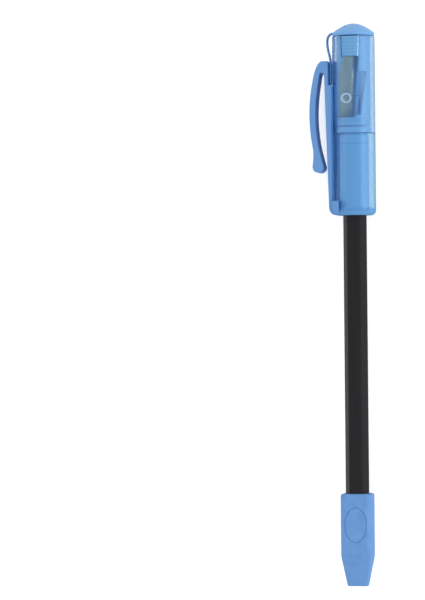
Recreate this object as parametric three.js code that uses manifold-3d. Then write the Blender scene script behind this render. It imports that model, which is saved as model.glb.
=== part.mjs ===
// A pencil with a moulded eraser on its blunt end and, over its point, a see-through cap that holds
// a sharpener, a flip lid on a strap and a pocket clip.
// Millimetres, +Z up. The pencil lies along Y with the lid towards +Y, the sharpener's tab faces up
// and the clip points to -X. Stations along Y are counted from the eraser's tip while building.

import * as THREE from "three";
import { mergeVertices } from "three/addons/utils/BufferGeometryUtils.js";
import Module from "manifold-3d";

const wasm = await Module();
wasm.setup();

// Clearances
const runningGap = 0.3; // between pieces that slide or rest on each other
const closeGap = 0.15; // around glue lines, the blade and its screw
const cutMargin = 1.0; // how far a cutting shape reaches past what it cuts

// Facets
const roundSegments = 48;
const smallSegments = 16;
const curveSegments = 6;

// Pencil
const barrelAcrossFlats = 7.0;
const barrelCornerRadius = 1.0;
const pencilLength = 128.0;
const pointHalfAngle = THREE.MathUtils.degToRad(12.5);
const leadRadius = 1.05;
const leadTipRadius = 0.2;

// Eraser
const eraserLength = 30.4;
const eraserSideWall = 1.06; // beside the barrel's corners
const eraserFaceWall = 0.95; // over the barrel's flats
const eraserChamfer = 1.3;
const eraserTipWidth = 6.9;
const eraserTipThickness = 2.6;
const eraserSideTaper = 10.1; // length over which the sides draw in
const eraserWedge = 12.5; // length over which the faces draw in
const eraserMouthChamfer = 0.8;
const socketDepth = 13.0;
const ovalMargin = 0.2; // from the oval to the edges of the eraser's flat face
const ovalLength = 11.3;
const ovalFromMouth = 10.15; // oval's middle, below the eraser's mouth
const ovalGrooveWidth = 0.35;
const ovalGrooveDepth = 0.25;

// Sleeve that grips the barrel inside the cap
const sleeveLength = 24.6;
const sleeveWall = 0.8; // outside the bore's corners
const sleeveRoof = 1.4;
const sleeveVentRadius = 0.6;
const sleeveGripLength = 6.5; // hexagonal part of the bore
const pointRoom = 0.5; // room round the sharpened point
const tipRoom = 0.8; // room above the lead's tip

// Shell
const shellWall = 1.25; // round the sharpener
const shellShoulder = 0.76; // step in the bore, which carries the sharpener's base
const shellLipHeight = 1.5;
const shellLipRoom = 0.7; // round the barrel in the lip's hole
const shellFootRound = 1.6;

// Sharpener
const chamberFloorGap = 0.6; // between the sleeve's roof and the sharpener's base
const sharpenerHeight = 31.5;
const baseHeight = 4.9;
const baseGrooveAbove = 1.8; // groove round the base, above its underside
const baseGrooveHeight = 0.6;
const baseGrooveDepth = 1.0;
const spigotRadius = 4.4; // under the base, down to the sleeve's roof
const collarHeight = 6.3;
const mouthDepth = 2.6;
const mouthChamfer = 0.4;
const coneTipRadius = 0.4;
const coneReliefDepth = 1.5;
const bladeRoll = THREE.MathUtils.degToRad(15); // turn of the cutting line about the pencil's axis
const bladeRim = 0.8; // strip of the block left beside the blade
const seatRise = 0.1; // the blade's seat, above the cone's surface
const seatDepth = 0.2; // the seat, below the block's flat face
const blockStep = 0.1; // how far the block draws in from the collar, and the ledges of its cuts
const bladeThickness = 0.5;
const bladeLength = 22.8;
const bladeBaseGap = 0.3; // between the blade's lower end and the base
const chipSlotTopWidth = 1.3;
const chipSlotBottomWidth = 0.7;
const chipSlotDepth = 1.0;
const reliefTopWidth = 3.2; // step in the block beside the chip slot
const reliefBottomWidth = 1.0;
const reliefFloor = 0.5;
const reliefPadFloor = 1.6;
const reliefBottomAboveBase = 2.0;
const reliefPadLength = 5.6;
const reliefLength = 14.0;

// Sharpener's tab
const tabTopWidth = 5.1;
const tabBottomWidth = 4.8;
const tabHeight = 6.6;
const tabRibs = 5;
const tabRibDepth = 0.25;
const tabRoot = 1.0; // how deep the tab reaches into the collar

// Blade screw
const screwHeadRadius = 1.75;
const screwHeadHeight = 0.6;
const screwHeadRound = 0.3;
const screwShankRadius = 0.7;
const screwGrip = 2.0; // shank below the blade
const screwFromEdge = 2.6; // from the cutting edge
const screwAboveBase = 6.8;
const recessWidth = 0.5;
const recessDepth = 0.35;

// Lid
const lidHeight = 4.16;
const lidRimHeight = 0.9;
const lidDomePower = 0.54; // how the dome's radius falls off towards its top
const lidDomeSteps = 7;
const lidPlugDepth = 1.7;
const lidPlugWall = 1.0;
const lidPlugGap = 0.6; // room round the plug, so that it can swing out
const lidHollowHeight = 2.0;
const ventCount = 6;
const ventRadius = 0.35;
const ventGap = 0.36; // from the plug to the vents

// Lid strap
const strapThickness = 0.45;
const strapWidth = 2.4;
const strapBow = 0.95;
const strapBowLength = 8.2;
const strapFreeLength = 5.8; // from the start of the bow up to the shell's rim
const strapSteps = 12;
const strapLidOverlap = 0.7; // how far the strap's end passes the lid's base

// Clip
const clipWidth = 7.3;
const spineTopThickness = 1.86;
const spineFootThickness = 0.74;
const saddleThickness = 0.6;
const saddleRound = 2.8; // at the foot's lower edge
const saddleHeight = 4.7;
const saddleHalfAngle = THREE.MathUtils.degToRad(52);
const pocketDepth = 7.7;
const pocketRoom = 0.3; // strap's end to the pocket's floor
const rootBelowRim = 8.1; // clip root's top, below the shell's rim
const rootHeight = 2.6;
const rootReach = 0.9; // from the spine's face to the cut where the arm bends
const clipOpening = 3.47; // between the spine and the arm at its widest bow
const clipLength = 36.6;
const clipBowBelowRoot = 17.5;
const clipBowSpan = 11.5; // along the arm, either side of the bow
const clipBowSag = 1.2; // how far the arm draws in over that span
const armThickness = 1.9;
const armEndRadius = 1.8;
const armEndGap = 1.35; // between the arm's end and the spine
const armShoulder = 0.9;

// Colours and surfaces
const opaqueBlue = { color: 0x6f9fd8, roughness: 0.38, metalness: 0 };
const clearBlue = { color: 0x9dcfe7, roughness: 0.12, metalness: 0, transparent: true, opacity: 0.45 };
const lacqueredCedar = { color: 0x2b2a2d, roughness: 0.4, metalness: 0 };
const graphite = { color: 0x3c3c40, roughness: 0.45, metalness: 0.3 };
const eraserRubber = { color: 0x6a97d0, roughness: 0.75, metalness: 0 };
const bladeSteel = { color: 0x8c979e, roughness: 0.3, metalness: 1 };
const screwSteel = { color: 0xc4d2d6, roughness: 0.2, metalness: 1 };

// Stations along the pencil, each worked out from the piece that it rests on
const barrelCornerCentre = (barrelAcrossFlats / 2 - barrelCornerRadius) / Math.cos(Math.PI / 6);
const barrelCornerReach = barrelCornerCentre + barrelCornerRadius;
const eraserWidth = 2 * (barrelCornerReach + closeGap + eraserSideWall);
const eraserThickness = barrelAcrossFlats + 2 * (closeGap + eraserFaceWall);
const ovalWidth = eraserWidth - 2 * (eraserChamfer + ovalMargin);
const socketFloor = eraserLength - socketDepth;
const pencilEnd = socketFloor + runningGap;
const leadTip = pencilEnd + pencilLength;
const pointApex = leadTip + leadTipRadius / Math.tan(pointHalfAngle);
const sleeveCeiling = leadTip + tipRoom;
const sleeveTop = sleeveCeiling + sleeveRoof;
const sleeveBottom = sleeveTop - sleeveLength;
const shellBottom = sleeveBottom - runningGap - shellLipHeight;
const baseBottom = sleeveTop + chamberFloorGap;
const baseTop = baseBottom + baseHeight;
const collarTop = baseBottom + sharpenerHeight;
const collarBottom = collarTop - collarHeight;
const shellTop = collarTop;
const lidBase = shellTop + runningGap;

// Radii inside the cap
const sleeveRadius = barrelCornerReach + closeGap + sleeveWall;
const shellLowerRadius = sleeveRadius + closeGap;
const shellInnerRadius = shellLowerRadius + shellShoulder;
const insertRadius = shellInnerRadius - runningGap;
const shellRadius = shellInnerRadius + shellWall;
const shellLipRadius = barrelCornerReach + shellLipRoom;
const mouthRadius = barrelCornerReach + runningGap;
const plugRadius = mouthRadius - lidPlugGap;
const ventCircle = plugRadius + ventGap + ventRadius;

// Sharpener's cone and the frame of its blade: along the cutting line, across the blade, out of its face
const coneTop = collarTop - mouthDepth;
const coneApex = coneTop - mouthRadius / Math.tan(pointHalfAngle);
const bladeFrame = new THREE.Matrix4()
  .makeTranslation(0, coneApex, 0)
  .multiply(new THREE.Matrix4().makeRotationY(bladeRoll))
  .multiply(new THREE.Matrix4().makeRotationX(pointHalfAngle))
  .multiply(new THREE.Matrix4().makeTranslation(0, 0, seatRise));
const alongBlade = (station) => (station - coneApex) / Math.cos(pointHalfAngle);
const bladeStart = alongBlade(baseTop + bladeBaseGap);
const bladeEnd = bladeStart + bladeLength;
const bladeTopFace = closeGap + bladeThickness;
const bladeWidth = insertRadius - bladeRim;
const bladeFaceRise = (seatRise + bladeTopFace) * Math.cos(pointHalfAngle);
const bladeFaceHeight = bladeEnd * Math.sin(pointHalfAngle) + bladeFaceRise;
const bladeTopWidth = Math.sqrt(insertRadius ** 2 - bladeFaceHeight ** 2);
const bladeCornerHeight = Math.sqrt(insertRadius ** 2 - bladeWidth ** 2);
const bladeCorner = (bladeCornerHeight - bladeFaceRise) / Math.sin(pointHalfAngle);
const screwAlong = alongBlade(baseTop + screwAboveBase);

// Clip's stations and faces
const rootTop = shellTop - rootBelowRim;
const slotTop = rootTop - rootHeight;
const spineInner = -(shellRadius + runningGap);
const pocketWall = spineInner - strapThickness - runningGap;
const pocketFloor = rootTop - pocketDepth;
const saddleTop = shellBottom + saddleHeight;
const saddleRadius = shellRadius + runningGap + saddleThickness;
const spineSlope = (spineTopThickness - spineFootThickness) / (pocketFloor - saddleTop);
const spineOuter = (station) => spineInner - spineFootThickness - spineSlope * (station - saddleTop);
const rootCut = spineOuter(slotTop) - rootReach;
const bowStation = rootTop - clipBowBelowRoot;

// Closed geometry to a solid and back
function solid(geometry) {
  const bare = geometry.index ? geometry.toNonIndexed() : geometry.clone();
  bare.deleteAttribute("normal");
  bare.deleteAttribute("uv");
  const merged = mergeVertices(bare, 1e-4);
  const mesh = new wasm.Mesh({
    numProp: 3,
    vertProperties: new Float32Array(merged.attributes.position.array),
    triVerts: new Uint32Array(merged.index.array),
  });
  return new wasm.Manifold(mesh);
}

function geometryOf(manifold) {
  const mesh = manifold.getMesh();
  const geometry = new THREE.BufferGeometry();
  geometry.setAttribute("position", new THREE.BufferAttribute(mesh.vertProperties, 3));
  geometry.setIndex(new THREE.BufferAttribute(mesh.triVerts, 1));
  geometry.computeVertexNormals();
  return geometry;
}

// Basic shapes
function polygon(points) {
  return new THREE.Shape(points.map(([x, y]) => new THREE.Vector2(x, y)));
}

// Turns a profile of [radius, station] pairs about the pencil's axis, its outer side running upwards.
function turned(profile, segments = roundSegments) {
  const points = profile.map(([radius, station]) => new THREE.Vector2(radius, station));
  return new THREE.LatheGeometry(points, segments);
}

function rod(radius, from, to, segments = roundSegments) {
  return turned([[0, from], [radius, from], [radius, to], [0, to]], segments);
}

function extruded(shape, depth) {
  return new THREE.ExtrudeGeometry(shape, { depth, bevelEnabled: false, curveSegments });
}

function alongY(shape, from, to) {
  return extruded(shape, to - from).rotateX(-Math.PI / 2).translate(0, from, 0);
}

function acrossZ(shape, width) {
  return extruded(shape, width).translate(0, 0, -width / 2);
}

function acrossX(shape, width) {
  return acrossZ(shape, width).rotateY(-Math.PI / 2);
}

// A flat outline in the blade's frame, drawn out from one height above the blade's seat to another.
function onBlade(points, from, to) {
  return solid(extruded(polygon(points), to - from).translate(0, 0, from).applyMatrix4(bladeFrame));
}

function hexagon(acrossFlats, cornerRadius) {
  const shape = new THREE.Shape();
  const cornerCentre = (acrossFlats / 2 - cornerRadius) / Math.cos(Math.PI / 6);
  for (let corner = 0; corner < 6; corner += 1) {
    const angle = (corner * Math.PI) / 3;
    const x = cornerCentre * Math.cos(angle);
    const y = cornerCentre * Math.sin(angle);
    shape.absarc(x, y, cornerRadius, angle - Math.PI / 6, angle + Math.PI / 6, false);
  }
  return shape;
}

// Points on an arc of a turned profile, [radius, station] pairs
function profileArc(centre, radius, fromAngle, toAngle, steps = curveSegments) {
  return Array.from({ length: steps + 1 }, (unused, step) => {
    const angle = fromAngle + ((toAngle - fromAngle) * step) / steps;
    return [centre[0] + radius * Math.cos(angle), centre[1] + radius * Math.sin(angle)];
  });
}

// Pencil: two cedar slats glued along the lead, sharpened to a cone
function sharpened() {
  const coneStart = barrelCornerReach + cutMargin;
  const coneStartStation = pointApex - coneStart / Math.tan(pointHalfAngle);
  return solid(turned([
    [0, pencilEnd - cutMargin],
    [coneStart, pencilEnd - cutMargin],
    [coneStart, coneStartStation],
    [leadTipRadius, leadTip],
    [0, leadTip],
  ]));
}

function barrelSlat(side) {
  const casing = solid(alongY(hexagon(barrelAcrossFlats, barrelCornerRadius), pencilEnd, leadTip));
  const groove = solid(rod(leadRadius + closeGap, pencilEnd - cutMargin, leadTip + cutMargin, smallSegments));
  const halfSize = barrelAcrossFlats + cutMargin;
  const half = new THREE.BoxGeometry(2 * halfSize, 2 * pencilLength, halfSize);
  half.translate(0, pencilEnd + pencilLength / 2, (side * halfSize) / 2);
  return geometryOf(casing.intersect(sharpened()).subtract(groove).intersect(solid(half)));
}

function graphiteLead() {
  return turned([
    [0, pencilEnd],
    [leadRadius, pencilEnd],
    [leadRadius, pointApex - leadRadius / Math.tan(pointHalfAngle)],
    [leadTipRadius, leadTip],
    [0, leadTip],
  ], smallSegments);
}

// Eraser: a chamfered block drawn in to a chisel, with a hexagonal socket and a bare oval groove
function chiselOutline(tipWidth, fullWidth, taper) {
  const half = fullWidth / 2;
  const shoulder = eraserLength - eraserMouthChamfer;
  return polygon([
    [-tipWidth / 2, 0],
    [tipWidth / 2, 0],
    [half, taper],
    [half, shoulder],
    [half - eraserMouthChamfer, eraserLength],
    [eraserMouthChamfer - half, eraserLength],
    [-half, shoulder],
    [-half, taper],
  ]);
}

function eraserSection() {
  const x = eraserWidth / 2;
  const y = eraserThickness / 2;
  const cut = eraserChamfer;
  return polygon([
    [x, y - cut],
    [x - cut, y],
    [cut - x, y],
    [-x, y - cut],
    [-x, cut - y],
    [cut - x, -y],
    [x - cut, -y],
    [x, cut - y],
  ]);
}

function ovalGroove() {
  const ring = new THREE.Shape();
  ring.absellipse(0, 0, ovalWidth / 2, ovalLength / 2, 0, 2 * Math.PI);
  const island = new THREE.Path();
  const drawnIn = ovalGrooveWidth;
  island.absellipse(0, 0, ovalWidth / 2 - drawnIn, ovalLength / 2 - drawnIn, 0, 2 * Math.PI);
  ring.holes.push(island);
  const depth = ovalGrooveDepth + cutMargin;
  const ovalSteps = roundSegments / 2;
  const groove = new THREE.ExtrudeGeometry(ring, { depth, bevelEnabled: false, curveSegments: ovalSteps });
  return solid(groove.translate(0, eraserLength - ovalFromMouth, eraserThickness / 2 - ovalGrooveDepth));
}

function eraserCap() {
  const frontOutline = chiselOutline(eraserTipWidth, eraserWidth, eraserSideTaper);
  const sideOutline = chiselOutline(eraserTipThickness, eraserThickness, eraserWedge);
  const front = acrossZ(frontOutline, eraserThickness + cutMargin);
  const side = acrossX(sideOutline, eraserWidth + cutMargin);
  const section = alongY(eraserSection(), -cutMargin, eraserLength + cutMargin);
  const socketSize = barrelAcrossFlats + 2 * closeGap;
  const socket = alongY(hexagon(socketSize, barrelCornerRadius), socketFloor, eraserLength + cutMargin);
  const block = solid(front).intersect(solid(side)).intersect(solid(section));
  return geometryOf(block.subtract(solid(socket)).subtract(ovalGroove()));
}

// Sleeve: a plain tube pushed into the shell's lower bore, with a hexagonal bore that grips the barrel
function pencilSleeve() {
  const outside = solid(rod(sleeveRadius, sleeveBottom, sleeveTop));
  const gripTop = sleeveBottom + sleeveGripLength;
  const boreSize = barrelAcrossFlats + 2 * closeGap;
  const grip = alongY(hexagon(boreSize, barrelCornerRadius), sleeveBottom - cutMargin, gripTop);
  const pointRadius = (station) => (pointApex - station) * Math.tan(pointHalfAngle) + pointRoom;
  const pointBore = turned([
    [0, gripTop - runningGap],
    [mouthRadius, gripTop - runningGap],
    [mouthRadius, gripTop],
    [Math.min(mouthRadius, pointRadius(gripTop)), gripTop],
    [pointRadius(sleeveCeiling), sleeveCeiling],
    [sleeveVentRadius, sleeveCeiling],
    [sleeveVentRadius, sleeveTop + cutMargin],
    [0, sleeveTop + cutMargin],
  ], 2 * smallSegments);
  return geometryOf(outside.subtract(solid(grip)).subtract(solid(pointBore)));
}

// Shell: clear tube, thick round the sleeve and thin round the sharpener, with a lip under the sleeve
// and a notch for the sharpener's tab
function tabOutline(gap) {
  const bottom = collarTop - tabHeight - gap;
  const top = collarTop + (gap > 0 ? cutMargin : 0);
  return polygon([
    [-tabBottomWidth / 2 - gap, bottom],
    [tabBottomWidth / 2 + gap, bottom],
    [tabTopWidth / 2 + gap, top],
    [-tabTopWidth / 2 - gap, top],
  ]);
}

function capShell() {
  const shoulder = baseBottom - runningGap;
  const footCentre = [shellRadius - shellFootRound, shellBottom + shellFootRound];
  const tube = solid(turned([
    [shellLipRadius, shellBottom],
    ...profileArc(footCentre, shellFootRound, -Math.PI / 2, 0),
    [shellRadius, shellTop],
    [shellInnerRadius, shellTop],
    [shellInnerRadius, shoulder],
    [shellLowerRadius, shoulder],
    [shellLowerRadius, shellBottom + shellLipHeight],
    [shellLipRadius, shellBottom + shellLipHeight],
    [shellLipRadius, shellBottom],
  ]));
  const notch = extruded(tabOutline(runningGap), shellRadius + cutMargin);
  return geometryOf(tube.subtract(solid(notch)));
}

// Sharpener: collar with a mouth, block cut flat for the blade, base flange and ribbed tab
function chipSlotEdge(along) {
  const share = (along - bladeStart) / bladeLength;
  return chipSlotBottomWidth + (chipSlotTopWidth - chipSlotBottomWidth) * share;
}

function bladeSeat() {
  const from = bladeStart - bladeLength;
  const to = bladeEnd + bladeLength;
  const outline = [
    [-2 * shellRadius, from],
    [chipSlotEdge(from), from],
    [chipSlotEdge(to), to],
    [-2 * shellRadius, to],
  ];
  return onBlade(outline, seatDepth, 2 * shellRadius);
}

function reliefStep(from, to, floor, ledge) {
  const width = (along) => {
    const share = (along - alongBlade(baseTop + reliefBottomAboveBase)) / reliefLength;
    return reliefBottomWidth + (reliefTopWidth - reliefBottomWidth) * share - ledge;
  };
  const outline = [
    [chipSlotEdge(from) - cutMargin, from],
    [chipSlotEdge(from) + width(from), from],
    [chipSlotEdge(to) + width(to), to],
    [chipSlotEdge(to) - cutMargin, to],
  ];
  return onBlade(outline, floor, 2 * shellRadius);
}

function coneBore() {
  const coneTip = coneApex + coneTipRadius / Math.tan(pointHalfAngle);
  return solid(turned([
    [0, coneTip - coneReliefDepth],
    [coneTipRadius, coneTip - coneReliefDepth],
    [coneTipRadius, coneTip],
    [mouthRadius, coneTop],
    [mouthRadius, collarTop - mouthChamfer],
    [mouthRadius + mouthChamfer + cutMargin, collarTop + cutMargin],
    [0, collarTop + cutMargin],
  ]));
}

function bladePocket() {
  const outline = [
    [-bladeWidth - closeGap, bladeStart - closeGap],
    [0, bladeStart - closeGap],
    [0, bladeEnd + closeGap],
    [-bladeWidth - closeGap, bladeEnd + closeGap],
  ];
  return onBlade(outline, 0, bladeTopFace + closeGap);
}

function chipSlot() {
  const outline = [
    [-closeGap, bladeStart],
    [chipSlotEdge(bladeStart) - blockStep, bladeStart],
    [chipSlotEdge(bladeEnd) - blockStep, bladeEnd],
    [-closeGap, bladeEnd],
  ];
  return onBlade(outline, -chipSlotDepth, bladeTopFace + runningGap);
}

// Turned about the screw's own axis, which stands on the blade's face
function onScrewAxis(profile) {
  const geometry = turned(profile, smallSegments).rotateX(Math.PI / 2);
  return solid(geometry.translate(-screwFromEdge, screwAlong, 0).applyMatrix4(bladeFrame));
}

function screwHole(radius) {
  const floor = -screwGrip - runningGap;
  const top = bladeTopFace + cutMargin;
  return onScrewAxis([[0, floor], [radius, floor], [radius, top], [0, top]]);
}

function tabBlock() {
  const depth = shellRadius - insertRadius + tabRoot + cutMargin;
  const outline = extruded(tabOutline(0), depth).translate(0, 0, insertRadius - tabRoot);
  const ribPitch = tabHeight / (2 * tabRibs + 1);
  let tab = solid(outline).intersect(solid(rod(shellRadius, collarTop - 2 * tabHeight, collarTop)));
  for (let rib = 0; rib < tabRibs; rib += 1) {
    const grooveBottom = collarTop - tabHeight + (2 * rib + 1) * ribPitch;
    const grooveFloor = shellRadius - tabRibDepth;
    const groove = turned([
      [grooveFloor, grooveBottom],
      [shellRadius + cutMargin, grooveBottom],
      [shellRadius + cutMargin, grooveBottom + ribPitch],
      [grooveFloor, grooveBottom + ribPitch],
      [grooveFloor, grooveBottom],
    ]);
    tab = tab.subtract(solid(groove));
  }
  return tab;
}

function sharpenerBody() {
  const reliefBottom = alongBlade(baseTop + reliefBottomAboveBase);
  const reliefTop = reliefBottom + reliefLength;
  const padTop = reliefBottom + reliefPadLength;
  const block = solid(rod(insertRadius - blockStep, baseTop - closeGap, collarBottom + closeGap))
    .subtract(bladeSeat())
    .subtract(reliefStep(reliefBottom, reliefTop, reliefPadFloor, 0))
    .subtract(reliefStep(padTop, reliefTop - blockStep, reliefFloor, blockStep));
  const grooveBottom = baseBottom + baseGrooveAbove;
  const grooveTop = grooveBottom + baseGrooveHeight;
  const grooveFloor = insertRadius - baseGrooveDepth;
  const spigotBottom = sleeveTop + runningGap;
  const base = solid(turned([
    [0, spigotBottom],
    [spigotRadius, spigotBottom],
    [spigotRadius, baseBottom],
    [insertRadius, baseBottom],
    [insertRadius, grooveBottom],
    [grooveFloor, grooveBottom],
    [grooveFloor, grooveTop],
    [insertRadius, grooveTop],
    [insertRadius, baseTop],
    [0, baseTop],
  ]));
  const collar = solid(rod(insertRadius, collarBottom, collarTop));
  const body = block.add(base).add(collar).add(tabBlock());
  const cut = body.subtract(coneBore()).subtract(bladePocket()).subtract(chipSlot());
  return geometryOf(cut.subtract(screwHole(screwShankRadius + closeGap)));
}

// The blade's upper corner is ground off where it would meet the shell.
function sharpenerBlade() {
  const outline = [
    [-bladeWidth, bladeStart],
    [-closeGap, bladeStart],
    [-closeGap, bladeEnd],
    [-bladeTopWidth, bladeEnd],
    [-bladeWidth, bladeCorner],
  ];
  const blank = onBlade(outline, closeGap, bladeTopFace);
  return geometryOf(blank.subtract(screwHole(screwShankRadius + closeGap)));
}

function bladeScrew() {
  const headFloor = bladeTopFace + closeGap;
  const headTop = headFloor + screwHeadHeight;
  const screw = onScrewAxis([
    [0, -screwGrip],
    [screwShankRadius, -screwGrip],
    [screwShankRadius, headFloor],
    [screwHeadRadius, headFloor],
    [screwHeadRadius, headTop - screwHeadRound],
    [screwHeadRadius - screwHeadRound, headTop],
    [0, headTop],
  ]);
  const half = recessWidth / 2;
  const arm = screwHeadRadius - 2 * screwHeadRound;
  const x = -screwFromEdge;
  const y = screwAlong;
  const across = onBlade(
    [[x - arm, y - half], [x + arm, y - half], [x + arm, y + half], [x - arm, y + half]],
    headTop - recessDepth,
    headTop + cutMargin,
  );
  const along = onBlade(
    [[x - half, y - arm], [x + half, y - arm], [x + half, y + arm], [x - half, y + arm]],
    headTop - recessDepth,
    headTop + cutMargin,
  );
  return geometryOf(screw.subtract(across).subtract(along));
}

// Lid: dome with a hollow plug and vent holes
function lid() {
  const domeHeight = lidHeight - lidRimHeight;
  const dome = Array.from({ length: lidDomeSteps + 1 }, (unused, step) => {
    const share = Math.sin((step / lidDomeSteps) * (Math.PI / 2));
    const radius = shellRadius * Math.pow(Math.max(1 - share, 0), lidDomePower);
    return [radius, lidBase + lidRimHeight + domeHeight * share];
  });
  const plugInner = plugRadius - lidPlugWall;
  let cover = solid(turned([
    [0, lidBase + lidHollowHeight],
    [plugInner, lidBase + lidHollowHeight],
    [plugInner, lidBase - lidPlugDepth],
    [plugRadius, lidBase - lidPlugDepth],
    [plugRadius, lidBase],
    [shellRadius, lidBase],
    ...dome,
  ]));
  for (let vent = 0; vent < ventCount; vent += 1) {
    const angle = ((vent + 0.5) * 2 * Math.PI) / ventCount;
    const hole = rod(ventRadius, lidBase - cutMargin, lidBase + lidHeight + cutMargin, smallSegments / 2);
    hole.translate(ventCircle * Math.sin(angle), 0, ventCircle * Math.cos(angle));
    cover = cover.subtract(solid(hole));
  }
  return geometryOf(cover);
}

// Strap: straight in its pocket, then bowed out to the lid's rim
function lidStrap() {
  const middle = spineInner - strapThickness / 2;
  const bowStart = shellTop - strapFreeLength;
  const bowed = (station) => {
    const share = Math.max(station - bowStart, 0) / strapBowLength;
    return middle - (strapBow * (1 - Math.cos(2 * Math.PI * share))) / 2;
  };
  const end = pocketFloor + pocketRoom;
  const top = lidBase + strapLidOverlap;
  const stations = [end];
  for (let step = 0; step <= strapSteps; step += 1) {
    stations.push(bowStart + ((top - bowStart) * step) / strapSteps);
  }
  const innerSide = stations.map((station) => [bowed(station) + strapThickness / 2, station]);
  const outerSide = stations.map((station) => [bowed(station) - strapThickness / 2, station]);
  return acrossZ(polygon([...innerSide, ...outerSide.reverse()]), strapWidth);
}

// The shell's outside at the clip's foot, with the gap that the clip keeps from it
function shellRoom() {
  const footCentre = [shellRadius - shellFootRound, shellBottom + shellFootRound];
  const reach = shellRadius + runningGap;
  return solid(turned([
    [0, shellBottom - runningGap],
    ...profileArc(footCentre, shellFootRound + runningGap, -Math.PI / 2, 0),
    [reach, saddleTop - closeGap],
    [shellRadius, saddleTop + cutMargin],
    [0, saddleTop + cutMargin],
  ]));
}

// Clip spine: rail beside the shell, with the strap's pocket, the arm's root and a saddle foot
function clipSpine() {
  const cutRight = rootCut + runningGap / 2;
  const slotRound = rootHeight / 2;
  const slotSide = slotTop - slotRound;
  const footTurn = shellBottom + saddleRound;
  const footInner = saddleRound - saddleRadius;
  const outline = new THREE.Shape();
  outline.moveTo(footInner, shellBottom);
  outline.lineTo(footInner, saddleTop);
  outline.lineTo(spineInner, saddleTop);
  outline.lineTo(spineInner, pocketFloor);
  outline.lineTo(pocketWall, pocketFloor);
  outline.lineTo(pocketWall, rootTop);
  outline.lineTo(cutRight, rootTop);
  outline.lineTo(cutRight, slotTop);
  outline.quadraticCurveTo(spineOuter(slotTop), slotTop, spineOuter(slotSide), slotSide);
  outline.lineTo(spineOuter(footTurn), footTurn);
  outline.quadraticCurveTo(spineOuter(shellBottom), shellBottom, footInner, shellBottom);
  const rail = solid(acrossZ(outline, clipWidth));

  const band = turned([
    [0, shellBottom],
    ...profileArc([-footInner, footTurn], saddleRound, -Math.PI / 2, 0),
    [saddleRadius, saddleTop],
    [0, saddleTop],
  ]);
  const reach = shellRadius + cutMargin;
  const keep = new THREE.BoxGeometry(reach, 2 * saddleHeight, 4 * reach);
  const saddleEdge = -shellRadius * Math.cos(saddleHalfAngle);
  keep.translate(saddleEdge - reach / 2, saddleTop, 0);
  return geometryOf(rail.add(solid(band).intersect(solid(keep))).subtract(shellRoom()));
}

// Clip arm: bowed strip from the root's cut to a round end
function clipArm() {
  const cutLeft = rootCut - runningGap / 2;
  const innerBow = spineOuter(bowStation) - clipOpening;
  const outerBow = innerBow - armThickness;
  const innerSag = innerBow + clipBowSag;
  const outerSag = outerBow + clipBowSag;
  const shoulder = bowStation + clipBowSpan;
  const neck = bowStation - clipBowSpan;
  const endStation = rootTop - clipLength + armEndRadius;
  const endCentre = spineOuter(endStation) - armEndGap - armEndRadius;
  const outerArc = THREE.MathUtils.degToRad(175);
  const innerArc = THREE.MathUtils.degToRad(380);
  const innerEnd = endCentre + armEndRadius * Math.cos(innerArc);

  const outline = new THREE.Shape();
  outline.moveTo(cutLeft, slotTop);
  outline.lineTo(cutLeft, rootTop);
  outline.quadraticCurveTo(outerSag + armShoulder, rootTop, outerSag, shoulder);
  outline.splineThru([new THREE.Vector2(outerBow, bowStation), new THREE.Vector2(outerSag, neck)]);
  outline.absarc(endCentre, endStation, armEndRadius, outerArc, innerArc, false);
  outline.quadraticCurveTo(innerEnd - armShoulder / 2, (endStation + neck) / 2, innerSag, neck);
  outline.splineThru([new THREE.Vector2(innerBow, bowStation), new THREE.Vector2(innerSag, shoulder)]);
  outline.quadraticCurveTo(innerSag, slotTop, cutLeft, slotTop);
  return acrossZ(outline, clipWidth);
}

// Assembly: the origin is the middle of the underside of the whole
function piece(name, geometry, surface) {
  const mesh = new THREE.Mesh(geometry, new THREE.MeshStandardMaterial(surface));
  mesh.name = name;
  return mesh;
}

const pencilSide = new THREE.Group();
pencilSide.add(
  piece("barrel_upper_slat", barrelSlat(1), lacqueredCedar),
  piece("barrel_lower_slat", barrelSlat(-1), lacqueredCedar),
  piece("graphite_lead", graphiteLead(), graphite),
  piece("eraser_cap", eraserCap(), eraserRubber),
);

const capSide = new THREE.Group();
capSide.add(
  piece("cap_shell", capShell(), clearBlue),
  piece("pencil_sleeve", pencilSleeve(), opaqueBlue),
  piece("sharpener_body", sharpenerBody(), opaqueBlue),
  piece("sharpener_blade", sharpenerBlade(), bladeSteel),
  piece("blade_screw", bladeScrew(), screwSteel),
  piece("lid", lid(), opaqueBlue),
  piece("lid_strap", lidStrap(), opaqueBlue),
  piece("clip_spine", clipSpine(), opaqueBlue),
  piece("clip_arm", clipArm(), opaqueBlue),
);

const pencil = new THREE.Group();
pencil.add(pencilSide, capSide);
const extent = new THREE.Box3().setFromObject(pencil);
const middle = extent.getCenter(new THREE.Vector3());
pencil.position.set(-middle.x, -middle.y, -extent.min.z);

export default pencil;
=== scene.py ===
# %% [markdown]
# # A pencil with an eraser and a sharpener cap
#
# The object lies on a white table and is seen from above. A black pencil carries a blue rubber
# eraser on its blunt end. Over its point sits a clear blue cap that holds a sharpener, a lid on a
# strap and a pocket clip. Every mesh in this lesson is drawn round the solids of a CAD model, in
# the same frame, so nothing has to be fitted by eye.

# %% Load the frame
from math import atan2, copysign, cos, hypot, pi, radians, sin, sqrt, tan

import bmesh
import bpy
from mathutils import Matrix, Vector


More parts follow.
